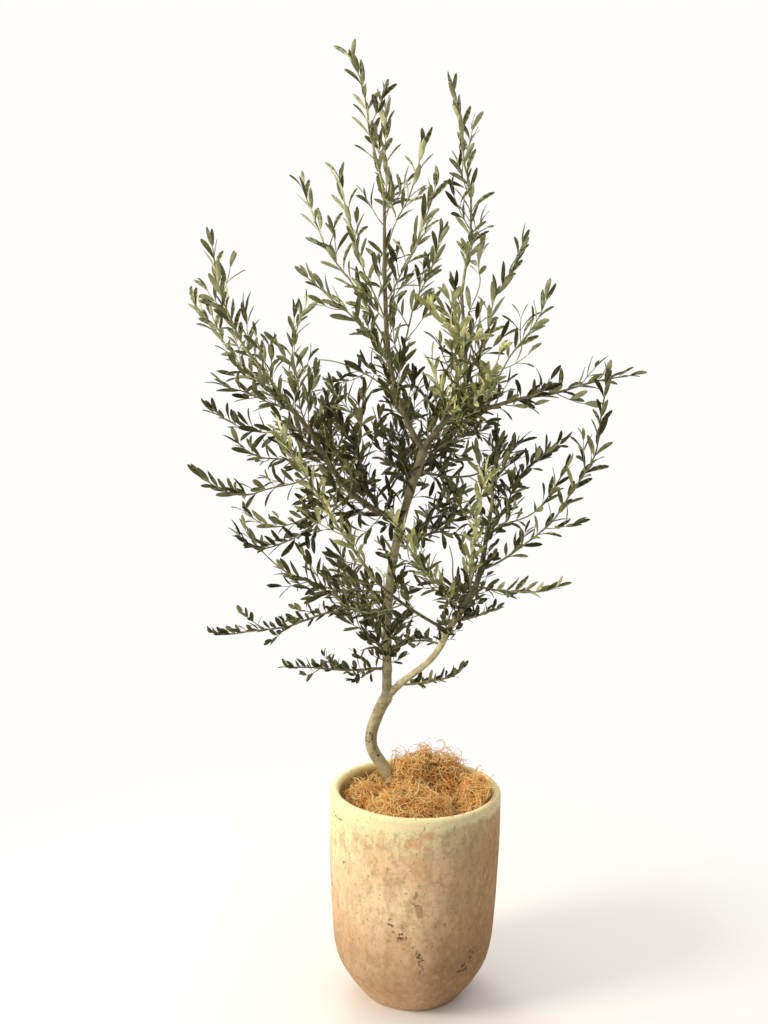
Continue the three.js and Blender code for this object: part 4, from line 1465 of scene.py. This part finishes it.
# %% Floor and surround
FLOOR_RADIUS = 1.3
FADE_FROM = 0.45
FLOOR_SIDES = 180
ground = bpy.data.meshes.new("floor")
edge = [(FLOOR_RADIUS * math.cos(a), FLOOR_RADIUS * math.sin(a), 0) for a in turns(FLOOR_SIDES)]
ground.from_pydata(edge, [], [tuple(range(FLOOR_SIDES))])
plaster = Finish("pale_floor", tone(240, 236, 230), roughness=0.7, specular=0.2)
plaster.set("Alpha", 1 - plaster.place.off_axis().between(FADE_FROM, FLOOR_RADIUS))
ground.materials.append(plaster.material)
floor = in_scene("floor", ground)

world = bpy.data.worlds.new("surround")
world.use_nodes = True
sky = Graph(world.node_tree)
toward = sky.add("ShaderNodeTexCoord", out="Generated")
behind = toward.part("Y").between(-0.3, 0.6)
above = toward.part("Z").between(0.3, 0.9)
leftward = (toward * -1.0).part("X").between(0.0, 0.9)
light = behind.math("MAXIMUM", above * 0.95).math("MAXIMUM", leftward * 0.6) * 0.76 + 0.26
seen = sky.add("ShaderNodeLightPath", out="Is Camera Ray")
light = light + (1.0 - light) * seen
backdrop = world.node_tree.nodes["Background"].inputs
backdrop["Color"].default_value = (1.0, 0.99, 0.98, 1.0)
world.node_tree.links.new(light.socket, backdrop["Strength"])
bpy.context.scene.world = world
print("nodes in the surround", len(sky.tree.nodes))

# %% [markdown]
# The light is that of a bright studio: a large soft light from the upper left, a weak one from the
# right, and one behind that rims the leaves. The camera stands where the photo's did, tipped down
# and rolled very slightly.

# %% Lights and camera
def soft_light(name, place, target, size, power, colour):
    lamp = bpy.data.lights.new(name, "AREA")
    lamp.shape = "DISK"
    lamp.size = size
    lamp.energy = power
    lamp.color = colour
    made = in_scene(name, lamp)
    made.location = place
    made.rotation_euler = (Vector(target) - Vector(place)).to_track_quat("-Z", "Y").to_euler()


soft_light("key", (-2.9, -1.3, 2.3), (0, 0, 0.7), 1.2, 86, (1.0, 0.94, 0.84))
soft_light("fill", (2.4, -2.2, 1.6), (0, 0, 0.8), 1.6, 2, (0.96, 0.98, 1.0))
soft_light("back", (-0.9, 2.6, 2.6), (0, 0, 1.1), 1.6, 30, (1.0, 1.0, 0.96))

FOCAL = 1200 / 1024  # focal length as a share of the picture's height
SENSOR = 36.0
DOWN = 0.1471  # how far the camera looks down, in radians
ROLL_LEFT = 0.0158
camera = in_scene("camera", bpy.data.cameras.new("camera"))
camera.data.sensor_width = SENSOR
camera.data.lens = FOCAL * SENSOR
turn = Matrix.Rotation(math.pi / 2 - DOWN, 4, "X") @ Matrix.Rotation(ROLL_LEFT, 4, "Z")
camera.matrix_world = Matrix.Translation(VIEWER) @ turn
bpy.context.scene.camera = camera
bpy.context.scene.view_settings.view_transform = "Standard"
print("camera at", tuple(round(v, 3) for v in camera.matrix_world.translation))
